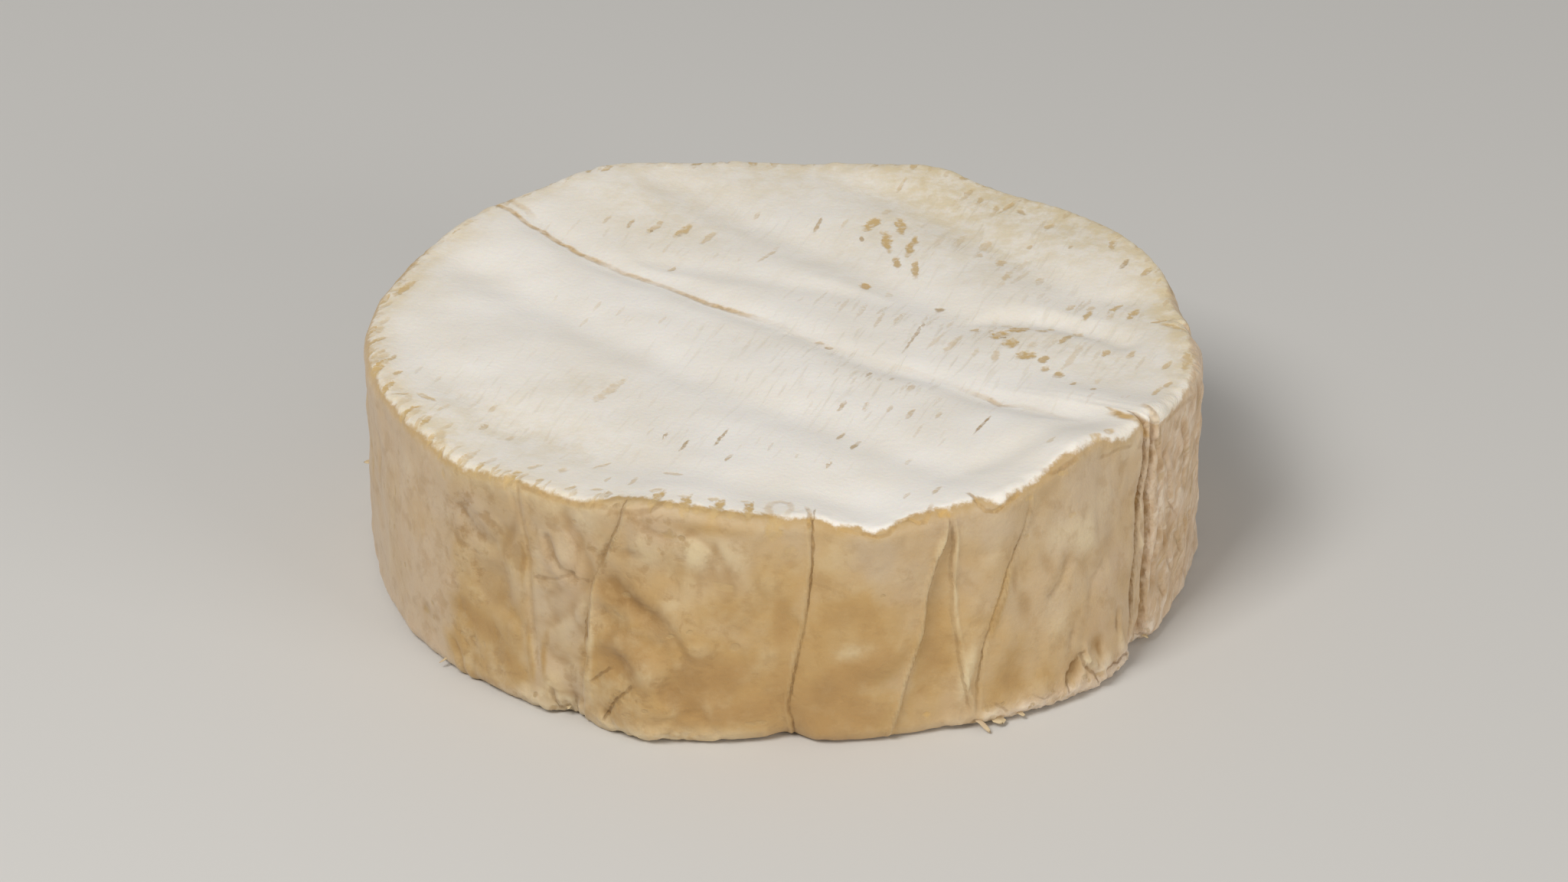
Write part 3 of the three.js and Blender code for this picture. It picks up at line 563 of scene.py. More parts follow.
def top_height(bearing, share):
    """The top's height at a share of the way from its middle to its edge.

    It follows the rim's level near the rim, and is sunk by the dish's depth times 1 less the
    fourth power of the share. The troughs are taken off it, and grow shallow by the rim."""
    edge = edge_radius(bearing)
    x = share * edge * np.cos(np.radians(bearing))
    y = share * edge * np.sin(np.radians(bearing))
    follow = step((share - 1 + RIM_REACH) / RIM_REACH)
    level = HEIGHT + (rim_level(bearing) - HEIGHT) * follow
    inside = step(edge * (1 - share) / TROUGH_FADE)
    troughs = trough_depth(x, y) * (TROUGH_AT_RIM + (1 - TROUGH_AT_RIM) * inside)
    return level - DISH_DEPTH * (1 - share**4) - troughs


def on_wall(bearing, height):
    """The point of the wall at a bearing and height."""
    radius, angle = float(wall_radius(bearing, height)), math.radians(bearing)
    return np.array([radius * math.cos(angle), radius * math.sin(angle), height])


print("middle of the top:", round(float(top_height(0.0, 0.0)), 2))
print("front of the wall:", on_wall(-90.0, HEIGHT / 2).round(2))

# %% [markdown]
# ## Laying out the mesh
#
# The wheel is one closed skin, so it is one mesh. The middle of the top is a square grid pressed
# into a disc: each square ring of it becomes a circle, which leaves no crowded pole as a fan of
# triangles would. From there the skin goes on as rings of points: over the rim, down the wall,
# round the foot and under. The rings have twice as many points as the grid's border, because the
# finest shapes are in the wall.

# %% A disc from a square grid
def square_disc(rings):
    """Shares of the radius and bearings for a grid of (2 rings + 1) squared points, its quads, and
    its border from the upper left corner round to the left.

    A point's share is the number of the square ring that it is on, over the number of rings. Its
    bearing turns evenly along that ring, a quarter turn for each side of the square."""
    across, up = np.meshgrid(np.arange(-rings, rings + 1), np.arange(-rings, rings + 1))
    ring = np.maximum(np.abs(across), np.abs(up))
    pace = 45 / np.maximum(ring, 1)
    sides = [up == -ring, across == ring, up == ring]
    bearing = np.select(sides, [pace * across - 90, pace * up, 90 - pace * across], 180 - pace * up)
    number = np.arange(across.size).reshape(across.shape)
    quads = np.stack([number[:-1, :-1], number[:-1, 1:], number[1:, 1:], number[1:, :-1]], axis=-1)
    outward = (up[:-1, :-1] < 0) != (across[:-1, :-1] < 0)
    quads[outward] = np.roll(quads[outward], -1, axis=-1)
    border = [number[:0:-1, 0], number[0, :-1], number[:-1, -1], number[-1, :0:-1]]
    return ring.ravel() / rings, bearing.ravel(), quads.reshape(-1, 4), np.concatenate(border)


print("a grid of 2 rings:", len(square_disc(2)[0]), "points,", len(square_disc(2)[2]), "quads")

# %% Faces between rings
def ring_quads(upper, lower):
    """Quads between two rings with the same number of points."""
    return np.stack([upper, lower, np.roll(lower, -1), np.roll(upper, -1)], axis=-1)


def ring_fans(many, few):
    """Triangles between a ring and one with a whole number of times fewer points: each point of
    the second has a fan of edges of the first, and a triangle fills the way to the next fan."""
    ratio = len(many) // len(few)
    own = (np.arange(len(many)) + ratio // 2) // ratio % len(few)
    near, following = few[own], few[np.roll(own, -1)]
    onward = np.roll(many, -1)
    fans = np.stack([many, near, onward], axis=-1)
    return np.concatenate([fans, np.stack([near, following, onward], axis=-1)[near != following]])


print("between rings of 8 and 4 points:", len(ring_fans(np.arange(8), np.arange(4))), "triangles")

# %% The rows of the wheel
GRID_RINGS = 72
COLUMNS = 2 * 8 * GRID_RINGS
GRID_SHARE = 0.88  # the share of the top's radius that is grid
BAND_ROWS = 11
RIM_ROWS = 6
LIP_ROWS = 14
LIP_HEIGHT = 6  # the upper part of the wall, which has closer rows
WALL_ROWS = 24
FOOT_ROWS = 9
BASE_RINGS = 18
BASE_SHARE = 0.95
RIM_LENGTH = RIM_ROUND * math.pi / 2
WOBBLE_SIZE = 6
CORNER_BEARING = 135  # the first column is at the grid's upper left corner

ring_bearing = CORNER_BEARING + 360 * np.arange(COLUMNS) / COLUMNS
edge = edge_radius(ring_bearing)
edge_level = top_height(ring_bearing, 1.0)
wall_top = edge_level - RIM_ROUND


def wobble_at(radius, bearing, height):
    """Slow noise in space, which makes lines and patches stray from their paths."""
    angle = np.radians(bearing)
    places = np.broadcast_arrays(radius * np.cos(angle), radius * np.sin(angle), height)
    return hills(np.stack(places, axis=-1), WOBBLE_SIZE, seed=3)


def wall_row(height):
    """The wall's radius round the wheel at a height."""
    return wall_radius(ring_bearing, height, wobble_at(RADIUS, ring_bearing, height))


def at_columns(values, bearing):
    """The value at a bearing, by straight lines between the values at the columns."""
    return np.interp(bearing, ring_bearing, values, period=360)


def rim_and_wall_rows():
    """Rows of (radius, height), one per ring, from the top's edge to the foot.

    The rim and the foot are quarter circles, and the wall between them has closer rows at its top."""
    rows = []
    for share in np.linspace(GRID_SHARE, 1, BAND_ROWS + 1)[1:]:
        rows.append((share * edge, top_height(ring_bearing, share)))
    for angle in np.linspace(0, math.pi / 2, RIM_ROWS + 1)[1:]:
        height = edge_level - RIM_ROUND * (1 - math.cos(angle))
        rows.append((wall_row(height) - RIM_ROUND * (1 - math.sin(angle)), height))
    for down in np.linspace(0, LIP_HEIGHT, LIP_ROWS + 1)[1:]:
        rows.append((wall_row(wall_top - down), wall_top - down))
    below_lip = wall_top - LIP_HEIGHT
    for share in np.linspace(0, 1, WALL_ROWS + 1)[1:]:
        height = below_lip + (FOOT_ROUND - below_lip) * share
        rows.append((wall_row(height), height))
    for angle in np.linspace(0, math.pi / 2, FOOT_ROWS + 1)[1:]:
        height = np.full_like(edge, FOOT_ROUND * (1 - math.sin(angle)))
        rows.append((wall_row(height) - FOOT_ROUND * (1 - math.cos(angle)), height))
    return rows


rows = rim_and_wall_rows()
print("rows:", len(rows), "of", COLUMNS, "columns")

# %% [markdown]
# Each point also gets its climb: its height on the wall, and past the wall the way along the skin.
# On the top the climb goes on rising from the rim to the middle, and under the wheel it goes on
# falling. So a mark near an edge can be placed by bearing and climb, as on a flat strip.

# %% All points of the wheel
grid_share, grid_bearing, grid_quads, grid_border = square_disc(GRID_RINGS)
grid_edge = edge_radius(grid_bearing)
grid_radius = GRID_SHARE * grid_share * grid_edge
grid_height = top_height(grid_bearing, GRID_SHARE * grid_share)
base_share, base_bearing, base_quads, base_border = square_disc(BASE_RINGS)
foot_radius = at_columns(rows[-1][0], base_bearing)
base_radius = BASE_SHARE * base_share * foot_radius

rim_angles = np.linspace(0, math.pi / 2, RIM_ROWS + 1)[1:]
row_climbs = [wall_top + RIM_LENGTH + edge - radius for radius, _ in rows[:BAND_ROWS]]
row_climbs += [wall_top + RIM_LENGTH - RIM_ROUND * angle for angle in rim_angles]
row_climbs += [height for _, height in rows[BAND_ROWS + RIM_ROWS:]]

radius = np.concatenate([grid_radius, *(row[0] for row in rows), base_radius])
height = np.concatenate([grid_height, *(row[1] for row in rows), 0 * base_radius])
bearing = np.concatenate([grid_bearing, *([ring_bearing] * len(rows)), base_bearing])
rim_climb = at_columns(wall_top + RIM_LENGTH, bearing)
climb = np.concatenate([
    rim_climb[:len(grid_radius)] + grid_edge - grid_radius, *row_climbs, base_radius - foot_radius,
])
way_down = rim_climb - climb
x, y, z = radius * np.cos(np.radians(bearing)), radius * np.sin(np.radians(bearing)), height
plain_points = np.stack([x, y, z], axis=-1)
print("points:", len(plain_points), "climb from", climb.min().round(1), "to", climb.max().round(1))

# %% All faces of the wheel
first_ring = len(grid_share)
rings = first_ring + np.arange(COLUMNS * len(rows)).reshape(len(rows), COLUMNS)
base_start = first_ring + COLUMNS * len(rows)
quads = np.concatenate([
    grid_quads,
    *(ring_quads(upper, lower) for upper, lower in zip(rings[:-1], rings[1:])),
    base_quads[:, ::-1] + base_start,
])
triangles = np.concatenate([
    ring_fans(rings[0], grid_border)[:, ::-1],
    ring_fans(rings[-1], base_border + base_start),
])
print("faces:", 2 * len(quads) + len(triangles), "triangles when split")

# %% [markdown]
# ## Lines and flecks
#
# The finest marks are narrower than the mesh is fine: the dark lines in folds and creases, which are
# partly brown stain and partly painted shade, the seam along the trough, the orange threads under
# the rim, and the bald flecks where the bloom was rubbed off. So each mark is kept as a place, a size
# and a direction on the skin. Later every face picks the mark nearest to it, and its corners carry
# their own distances from that mark, which the material turns into a sharp edge.

# %% Places on the skin
def on_skin(bearing, climb, x, y, wobble):
    """Places as rows of bearing, climb, x, y and wobble."""
    return np.stack(np.broadcast_arrays(bearing, climb, x, y, wobble))


wobble = wobble_at(radius, bearing, height)
point_places = on_skin(bearing, climb, x, y, wobble)
top_side = z > HEIGHT / 2


def rim_climb_at(at):
    """The climb of the top's edge at a bearing."""
    return float(at_columns(wall_top + RIM_LENGTH, at))


print("points of the top:", int(top_side.sum()))
print("climb of its edge at the front:", round(rim_climb_at(-90), 2))

# %% [markdown]
# The seam beside the trough is drawn in plan, because it lies on the flat of the top. It is strong at
# the back left and faint from the middle on. The lines by the rim are drawn on the unrolled strip.

# %% The seam and the lines by the rim
# The seam: points in plan from the back left to the front right, and its line's strength at each.
SEAM = [
    (-41.6, 38.4, 0.7), (-39.3, 37.2, 0.8), (-36.9, 35.8, 0.8), (-35.4, 34, 0.9), (-33.9, 31.8, 0.75),
    (-32.2, 30.5, 0.9), (-30.6, 28.4, 1), (-29.5, 27.2, 0.9), (-28.5, 26.5, 1), (-27.2, 24.7, 0.8),
    (-25.4, 23.1, 1), (-22.9, 21, 0.3), (-20.6, 18.7, 0.6), (-18.7, 17.5, 0.7), (-15.6, 15.2, 0.4),
    (-12.5, 12.2, 0.7), (-9.8, 9.8, 0.8), (-7.5, 8.3, 0.85), (-5, 6.6, 0.6), (-2.2, 4.8, 0.15),
    (0, 2.8, 0.1), (2.3, -0.4, 0.08), (5, -2.7, 0.12), (7.7, -4.4, 0.08), (10, -6.2, 0.06),
    (13.1, -8.5, 0.06), (16.2, -10, 0.1), (18.8, -12.3, 0.06), (21.5, -14.2, 0.08), (23.8, -16.5, 0.15),
    (26.5, -18.8, 0.6), (27.7, -20.8, 0.5), (30.2, -21.2, 0.2), (33, -23.5, 0.1), (34.6, -25, 0.12),
    (36.5, -26, 0.06), (38.5, -27, 0),
]
SEAM_TWIN = [(-38.6, 39.6, 0.35), (-36.8, 38.6, 0.5), (-34.4, 36.2, 0.45), (-33.6, 34.4, 0.2)]
SEAM_HALF_WIDTH = 0.55
# The lines by the rim: points of (bearing, way down from the edge), half width, strength, and tint
# from brown at 0 to orange at 1. A tint above 1 is orange all along, also where the skin is patchy.
RIM_LINES = [
    ([(-126.3, 1.4), (-122.2, 1.4), (-118.9, 1.5), (-116.4, 1.7), (-113.8, 1.6)], 0.4, 0.45, 0.7),
    ([(-110.7, 1.7), (-108.4, 1.7), (-106.9, 1.3), (-106.2, 0.5)], 0.45, 0.45, 0.3),
    ([(-91.4, 0.4), (-92, -1.6), (-91.4, -3.4), (-90.2, -4), (-89, -3.2), (-88.6, -1.6), (-89.2, 0)],
      0.5, 0.45, 1.4),
    ([(-86.2, -2), (-85.9, -0.6), (-86, 1.4)], 0.4, 0.7, 0.9),
    ([(-82.2, 1.3), (-80.3, 1.4), (-78.9, 1.4), (-77.7, 1.8), (-76.3, 1.6), (-75.3, 0.8)], 0.32, 0.6,
      0.9),
    ([(-74.5, 0.1), (-73.1, 0.3), (-71.9, 1.2), (-70.9, 1.3), (-69.5, -0.4)], 0.32, 0.6, 0.9),
    ([(-63.8, -1), (-63.5, 0.8), (-62.8, 1.7), (-61.3, 2.1), (-60.3, 1.7), (-58, 1.3)], 0.34, 0.75,
      0.9),
    ([(-51.9, 0.5), (-51.1, 1.3), (-49.1, 1.8), (-47.1, 2.1)], 0.34, 0.5, 0.5),
    ([(-41.1, 3.8), (-38.4, 3.4), (-35.2, 3.2)], 0.28, 0.45, 0.4),
    ([(-31.9, -2.8), (-32.5, -1.4), (-32.5, 0), (-31.9, 1.6), (-31.3, 3.6)], 0.8, 1, 1.4),
    ([(-28.6, -0.4), (-29, 0.8), (-29.2, 2.4)], 0.5, 0.7, 0.9),
    ([(-26, 3), (-22, 2.6), (-17.5, 2.8)], 0.3, 0.4, 0.5),
    ([(8, 1.6), (12, 1.2), (17, 1.5)], 0.35, 0.5, 0.5),
    ([(48, 1.4), (53, 1.0), (57, 1.3)], 0.35, 0.5, 0.5),
    ([(80, 1.5), (84, 1.1), (90, 1.4)], 0.35, 0.5, 0.6),
    ([(131, 1.3), (136, 1.0), (140, 1.4)], 0.35, 0.5, 0.5),
]
print("lines by the rim:", len(RIM_LINES))

# %% [markdown]
# A line is a row of straight pieces. Each piece knows the line's strength at both its ends, so the
# line can fade along its way, and the ends of the whole line run out softly.

# %% Straight pieces of lines
LINE_FADE = 0.8  # a line fades away over this length past its ends


def line_pieces(points, half_width, tint, in_plan=False):
    """A line's straight pieces, as rows: in plan or not, the piece's two ends, half width, strength
    at its start and its end, tint, and whether it is the line's first or last piece. Each point of
    the line is its place and its strength."""
    last = len(points) - 2
    return [
        [in_plan, *start[:2], *end[:2], half_width, start[2], end[2], tint, number == 0, number == last]
        for number, (start, end) in enumerate(zip(points[:-1], points[1:]))
    ]


def from_piece(piece, places):
    """How far to the left of a straight piece each place is, how strongly the line shows there, and
    how far the place is from the piece in half widths of the line.

    The strength goes evenly from start to end and eases to 0 past the end of a whole line."""
    in_plan, from_across, from_up, to_across, to_up, half_width, start, end, _, first, last = piece
    bearing, climb, x, y, wobble = places
    run = np.where(in_plan, to_across - from_across, arc(to_across, from_across))
    rise = to_up - from_up
    across = np.where(in_plan, x - from_across, arc(bearing, from_across) + LINE_STRAY * wobble)
    over = np.where(in_plan, y, climb + LINE_STRAY * wobble) - from_up
    length = np.hypot(run, rise)
    along = (across * run + over * rise) / length
    aside = (over * run - across * rise) / length
    before, past = np.maximum(-along, 0), np.maximum(along - length, 0)
    faded = step(np.maximum(first * before, last * past) / LINE_FADE)
    strength = start + (end - start) * np.clip(along / length, 0, 1)
    return aside, strength * (1 - faded), np.hypot(aside, before + past) / half_width


straight = line_pieces([(0, 0, 1), (10, 0, 1)], 1.0, 0.0, in_plan=True)[0]
print("a place 2 mm beside a line is", from_piece(straight, (0, 0, 5, 2, 0))[2], "half widths away")

# %% All lines
CREASE_LINE_WIDTH = 0.6  # the dark line's half width, as a share of the crease's
SEAM_TINT, FOLD_TINT, CREASE_TINT = 1.35, 0.35, 0.15

pieces = []
for path in (SEAM, SEAM_TWIN):
    pieces += line_pieces(path, SEAM_HALF_WIDTH, SEAM_TINT, in_plan=True)
for path, *_, half_width in FOLDS:
    pieces += line_pieces(path, half_width, FOLD_TINT)
for path, _, half_width, strength in CREASES:
    strip = [(at, up, strength) for at, up in path]
    pieces += line_pieces(strip, CREASE_LINE_WIDTH * half_width, CREASE_TINT)
for path, half_width, strength, tint in RIM_LINES:
    strip = [(at, rim_climb_at(at) - down, strength) for at, down in path]
    pieces += line_pieces(strip, half_width, tint)
pieces = np.array(pieces, dtype=float)
print("pieces of lines:", len(pieces))

# %% [markdown]
# The flecks of the top are bald strokes, where the wrapper's folds rubbed the bloom away. They all
# lean the same way, and many stand in rows like the teeth of a comb.

# %% Flecks of the top
# Each fleck is its place in plan, its length, width and direction in degrees, its tint from orange
# at -1 through tan to dark brown at 1, and its strength.
TOP_FLECKS = [
    (12.3, 32.9, 4.4, 1.7, 65, 0, 1), (16.2, 32.6, 5.4, 1.4, 88, 0, 1),
    (14.2, 27.4, 6.2, 1.4, 97, 0, 1), (17.4, 26, 6.8, 1.3, 78, 0.1, 1),
    (15.4, 21.2, 3.6, 0.9, 97, 0.3, 0.9), (17.8, 19.1, 5.2, 0.9, 88, 0.2, 0.9),
    (14.3, 37.1, 2.5, 1, 70, 0, 0.4), (5, 32.7, 4.2, 0.6, 75, 0.6, 0.8),
    (8.5, 32.7, 3, 0.6, 70, 0, 0.35), (10.8, 28.4, 1.4, 0.6, 100, 0.8, 0.8),
    (11.1, 14.5, 2.4, 1.3, 90, -1, 0.9), (14.2, 12.2, 1.6, 1, 70, 0, 0.35),
    (33.3, 26.2, 1, 0.7, 70, 0.3, 0.6), (38.8, 24.5, 0.9, 0.6, 70, 0.3, 0.6),
    (25.4, 42.5, 3.6, 0.9, 62, 0.2, 0.6), (27.1, 40.6, 2.4, 0.9, 75, 0.2, 0.6),
    (29.1, 37.5, 2.6, 0.9, 80, 0.2, 0.6), (32.7, 36.4, 1.8, 1, 120, 0.4, 0.7),
    (21.2, 27.9, 5, 1, 75, 0, 0.3), (24, 28.7, 4.5, 1, 72, 0, 0.35), (27.4, 27.5, 3.6, 1.4, 75, 0, 0.5),
    (26.5, 24, 1.6, 0.9, 70, 0, 0.5), (29.2, 21.8, 3.4, 1.2, 78, 0, 0.7),
    (32.1, 21.4, 4, 0.8, 70, 0, 0.3), (30, 17.2, 4, 1, 72, 0, 0.6), (29, 14, 3, 0.8, 70, 0, 0.3),
    (34.2, 16.4, 2, 1, 70, 0, 0.5), (8.2, 8, 5, 0.6, 72, 0.2, 0.3), (10.6, 6.4, 4.5, 0.6, 72, 0.2, 0.3),
    (12.7, 3.3, 5, 0.6, 75, 0.3, 0.4), (15.4, 4.1, 4, 0.7, 68, 0.3, 0.4),
    (17.6, -0.5, 11, 0.45, 71, 0.8, 0.7), (20.8, 7.9, 1.4, 1.2, 0, 0.9, 0.8),
    (22, 3, 3, 0.6, 70, 0.2, 0.3), (25.4, 1.6, 1.6, 1.4, 0, 0.2, 0.7),
    (27.5, 0.6, 1.4, 1.2, 0, 0.5, 0.7), (29.4, 3.1, 1.5, 1, 0, 0.2, 0.4),
    (30.8, 1.2, 3.2, 2.4, 30, -0.5, 1), (33.8, 0.6, 1.6, 1.2, 0, 0.2, 0.7),
    (35, 2, 1.4, 1, 60, 0.2, 0.6), (38.5, 0.6, 2, 1.2, 60, 0.1, 0.6),
    (28.1, -0.8, 3.4, 2.4, 60, -0.3, 1), (28.7, -1.8, 1, 0.8, 0, 1, 0.9),
    (29.6, -3.5, 3.4, 2, 75, 0, 1), (32.5, -4.2, 2, 1, 60, 0, 0.3), (31.4, -7.5, 2.8, 2.4, 60, 0.1, 1),
    (33.7, -8.7, 2.4, 1.1, 65, 0.3, 0.9), (33.8, -11.3, 1.8, 1.1, 65, 0.2, 0.8),
    (35.4, -13.3, 2.4, 1.2, 80, 0.2, 0.9), (36, -11.3, 1.6, 0.5, 65, 0.3, 0.7),
    (37.1, -16.3, 1.4, 0.7, 60, 0.4, 0.8), (39.5, -18.5, 1.2, 0.7, 60, 0.4, 0.8),
    (40.2, -15.4, 2, 0.8, 60, 0, 0.3), (36.9, -1.7, 4.4, 0.9, 62, 0.1, 0.9),
    (27.5, -7.7, 3.6, 1, 80, 0, 0.5), (25, -6.5, 3, 0.7, 75, 0, 0.35),
    (22.3, -3.5, 6.5, 1, 66, 0, 0.45), (20, -2.7, 5, 0.7, 66, 0, 0.35),
    (37.5, -7.7, 9, 0.9, 68, 0, 0.35), (37.9, 7.9, 2.6, 1, 66, 0, 0.6), (40, 5.6, 3.4, 0.9, 72, 0, 0.9),
    (40.6, 8, 2, 0.8, 66, 0, 0.5), (43.7, 7.7, 3.6, 0.9, 62, 0, 0.9), (42.9, 4.9, 2.4, 0.8, 64, 0, 0.4),
    (46, 5.6, 4, 1, 66, 0, 0.95), (6.2, -3.8, 1.2, 1, 0, 0.7, 0.7), (5, -2.3, 1.2, 0.8, 0, 0.4, 0.5),
    (11.2, -12.3, 2, 0.6, 72, 0.8, 0.7), (14.2, -13.7, 1.8, 0.6, 72, 0.4, 0.5),
    (16.5, -16.7, 2.2, 1, 70, 0.2, 0.5), (7.7, -21.2, 2.6, 0.6, 70, 0.5, 0.7),
    (10.7, -21.5, 2, 0.6, 70, 0.3, 0.5), (13.7, -22.3, 2, 0.6, 70, 0.3, 0.5),
    (16.2, -24, 2.8, 0.8, 65, 0.4, 0.6), (19.8, -24.6, 2, 0.6, 65, 0.3, 0.45),
    (25.2, -28.3, 4.6, 0.45, 64, 1, 0.9), (7.5, -28.8, 2.2, 0.6, 66, 0.6, 0.7),
    (9.2, -31.5, 3.4, 0.6, 66, 0.7, 0.8), (5.8, -37.9, 2, 0.6, 66, 0.5, 0.6),
    (15.8, -35.8, 2, 0.6, 66, 0.3, 0.3), (33.5, -35, 1.6, 0.8, 60, 0.2, 0.4),
    (15.4, -45.8, 1.6, 0.7, 66, 0.3, 0.4), (19, -45.2, 2.2, 0.7, 66, 0.4, 0.6),
    (-14.3, -29.6, 2.4, 0.5, 68, 0.7, 0.7), (-12, -32.7, 3, 0.5, 70, 0.8, 0.85),
    (-7.5, -30.4, 4.6, 0.5, 70, 0.8, 0.8), (-6.4, -36.3, 2.4, 0.5, 68, 0.6, 0.7),
    (-21.5, -16.5, 8.5, 1.3, 62, 0, 0.42), (-36.4, -21.3, 2, 0.7, 62, 0.2, 0.4),
    (-37.2, -26, 2, 0.8, 60, 0.3, 0.6), (-33.7, -28.7, 1.8, 0.8, 60, 0.2, 0.35),
    (-20.3, 32.3, 3, 0.6, 72, 0.4, 0.7), (-23.5, 33.3, 2.2, 0.6, 66, 0.2, 0.4),
    (-17, 31.4, 4.4, 1.2, 62, -0.2, 0.6), (-17.5, 30.2, 1.2, 0.7, 60, 0.9, 0.8),
    (-13.1, 30.6, 4.6, 1.3, 62, 0, 0.85), (-13.5, 29.4, 2, 0.5, 60, 0.9, 0.8),
    (-9.8, 28.5, 4.6, 1.2, 62, 0, 0.55), (-14.5, 19.7, 2, 0.8, 60, 0.3, 0.6),
    (-3.3, 36.8, 2, 0.7, 66, 0.2, 0.45), (-1.8, 23.3, 5, 0.6, 62, 0.2, 0.5),
    (-0.6, 26.4, 2, 0.6, 66, 0.1, 0.3), (-24.1, 8.1, 2.6, 0.5, 66, 0.1, 0.25),
    (-21, 6.4, 2.6, 0.5, 66, 0.1, 0.25), (-25.6, 4.5, 2.6, 0.5, 66, 0.1, 0.25),
    (-15.4, 3.7, 2.6, 0.5, 66, 0.1, 0.25), (-42.2, 31, 2, 0.8, 50, 0.1, 0.35),
    (-37.5, 37.2, 1.6, 0.8, 50, 0.2, 0.4),
]
# Each comb is its first and last tooth's place in plan, its teeth, and their length, width and
# strength.
COMBS = [
    (2, 12, 24, 1, 14, 6.8, 0.45, 0.32), (-8, 0, 12, -13, 12, 5.1, 0.36, 0.21),
    (5, -11, 26, -23, 13, 4.1, 0.41, 0.32), (0, -17, 21, -31, 12, 4.1, 0.41, 0.29),
    (-18, -27, 8, -38, 14, 4.1, 0.36, 0.27), (19, 31, 36, 13, 11, 6.1, 0.63, 0.32),
    (34, 11, 51, 2, 9, 5.4, 0.63, 0.32), (23, 3, 46, -11, 13, 5.8, 0.54, 0.29),
    (-46, -12, -26, -34, 13, 4.1, 0.54, 0.25), (-34, 33, -6, 22, 13, 4.4, 0.45, 0.21),
    (-30, 10, -8, -2, 10, 4.1, 0.36, 0.15), (20, 44, 44, 26, 12, 4.4, 0.54, 0.25),
    (-40, -2, -14, -22, 11, 4.4, 0.45, 0.13), (26, -22, 44, -22, 8, 3.4, 0.45, 0.21),
]
print("flecks of the top with their own places:", len(TOP_FLECKS), "combs:", len(COMBS))

# %% The teeth of the combs
FLECK_CHANCE = 5  # the seed of all flecks of chance
COMB_DIRECTION = 69
COMB_JITTER, COMB_SWING = 0.9, 5  # a tooth moves by this, and turns by this many degrees for each mm
TOOTH_LEAST = 0.3  # the least share that chance leaves of a tooth
TOOTH_WIDTH, TOOTH_WIDER = 0.7, 0.4  # the share of its width, and what chance adds
TOOTH_TINT = 0.5  # the highest tint


def top_fleck(x, y, length, width, direction, tint, strength):
    """A fleck in plan: its middle, direction, half length, half width, tint and strength."""
    return [True, x, y, direction, length / 2, width / 2, tint, strength]


def teeth(comb, generator):
    """The flecks of one comb, evenly spaced and then moved, turned and faded by chance."""
    x0, y0, x1, y1, count, length, width, strength = comb
    share = np.linspace(0, 1, count)
    across, up = generator.normal(0, COMB_JITTER, (2, count))
    chance = generator.uniform(TOOTH_LEAST, 1, (3, count))
    columns = [
        x0 + (x1 - x0) * share + across, y0 + (y1 - y0) * share + up, length * chance[0],
        width * (TOOTH_WIDTH + TOOTH_WIDER * chance[1]), COMB_DIRECTION + COMB_SWING * across,
        TOOTH_TINT * chance[2], strength * chance[1],
    ]
    return [top_fleck(*tooth) for tooth in zip(*columns)]


draw = np.random.default_rng(FLECK_CHANCE)
flecks = [top_fleck(*fleck) for fleck in TOP_FLECKS]
for comb in COMBS:
    flecks += teeth(comb, draw)
print("flecks of the top:", len(flecks))

# %% [markdown]
# Flecks also bite into the bloom's edge all round the rim, where the wrapper was pulled tight. The
# rim curves, so they are placed by bearing and by their way down from the top's edge. Round most of
# the rim they too stand in combs.

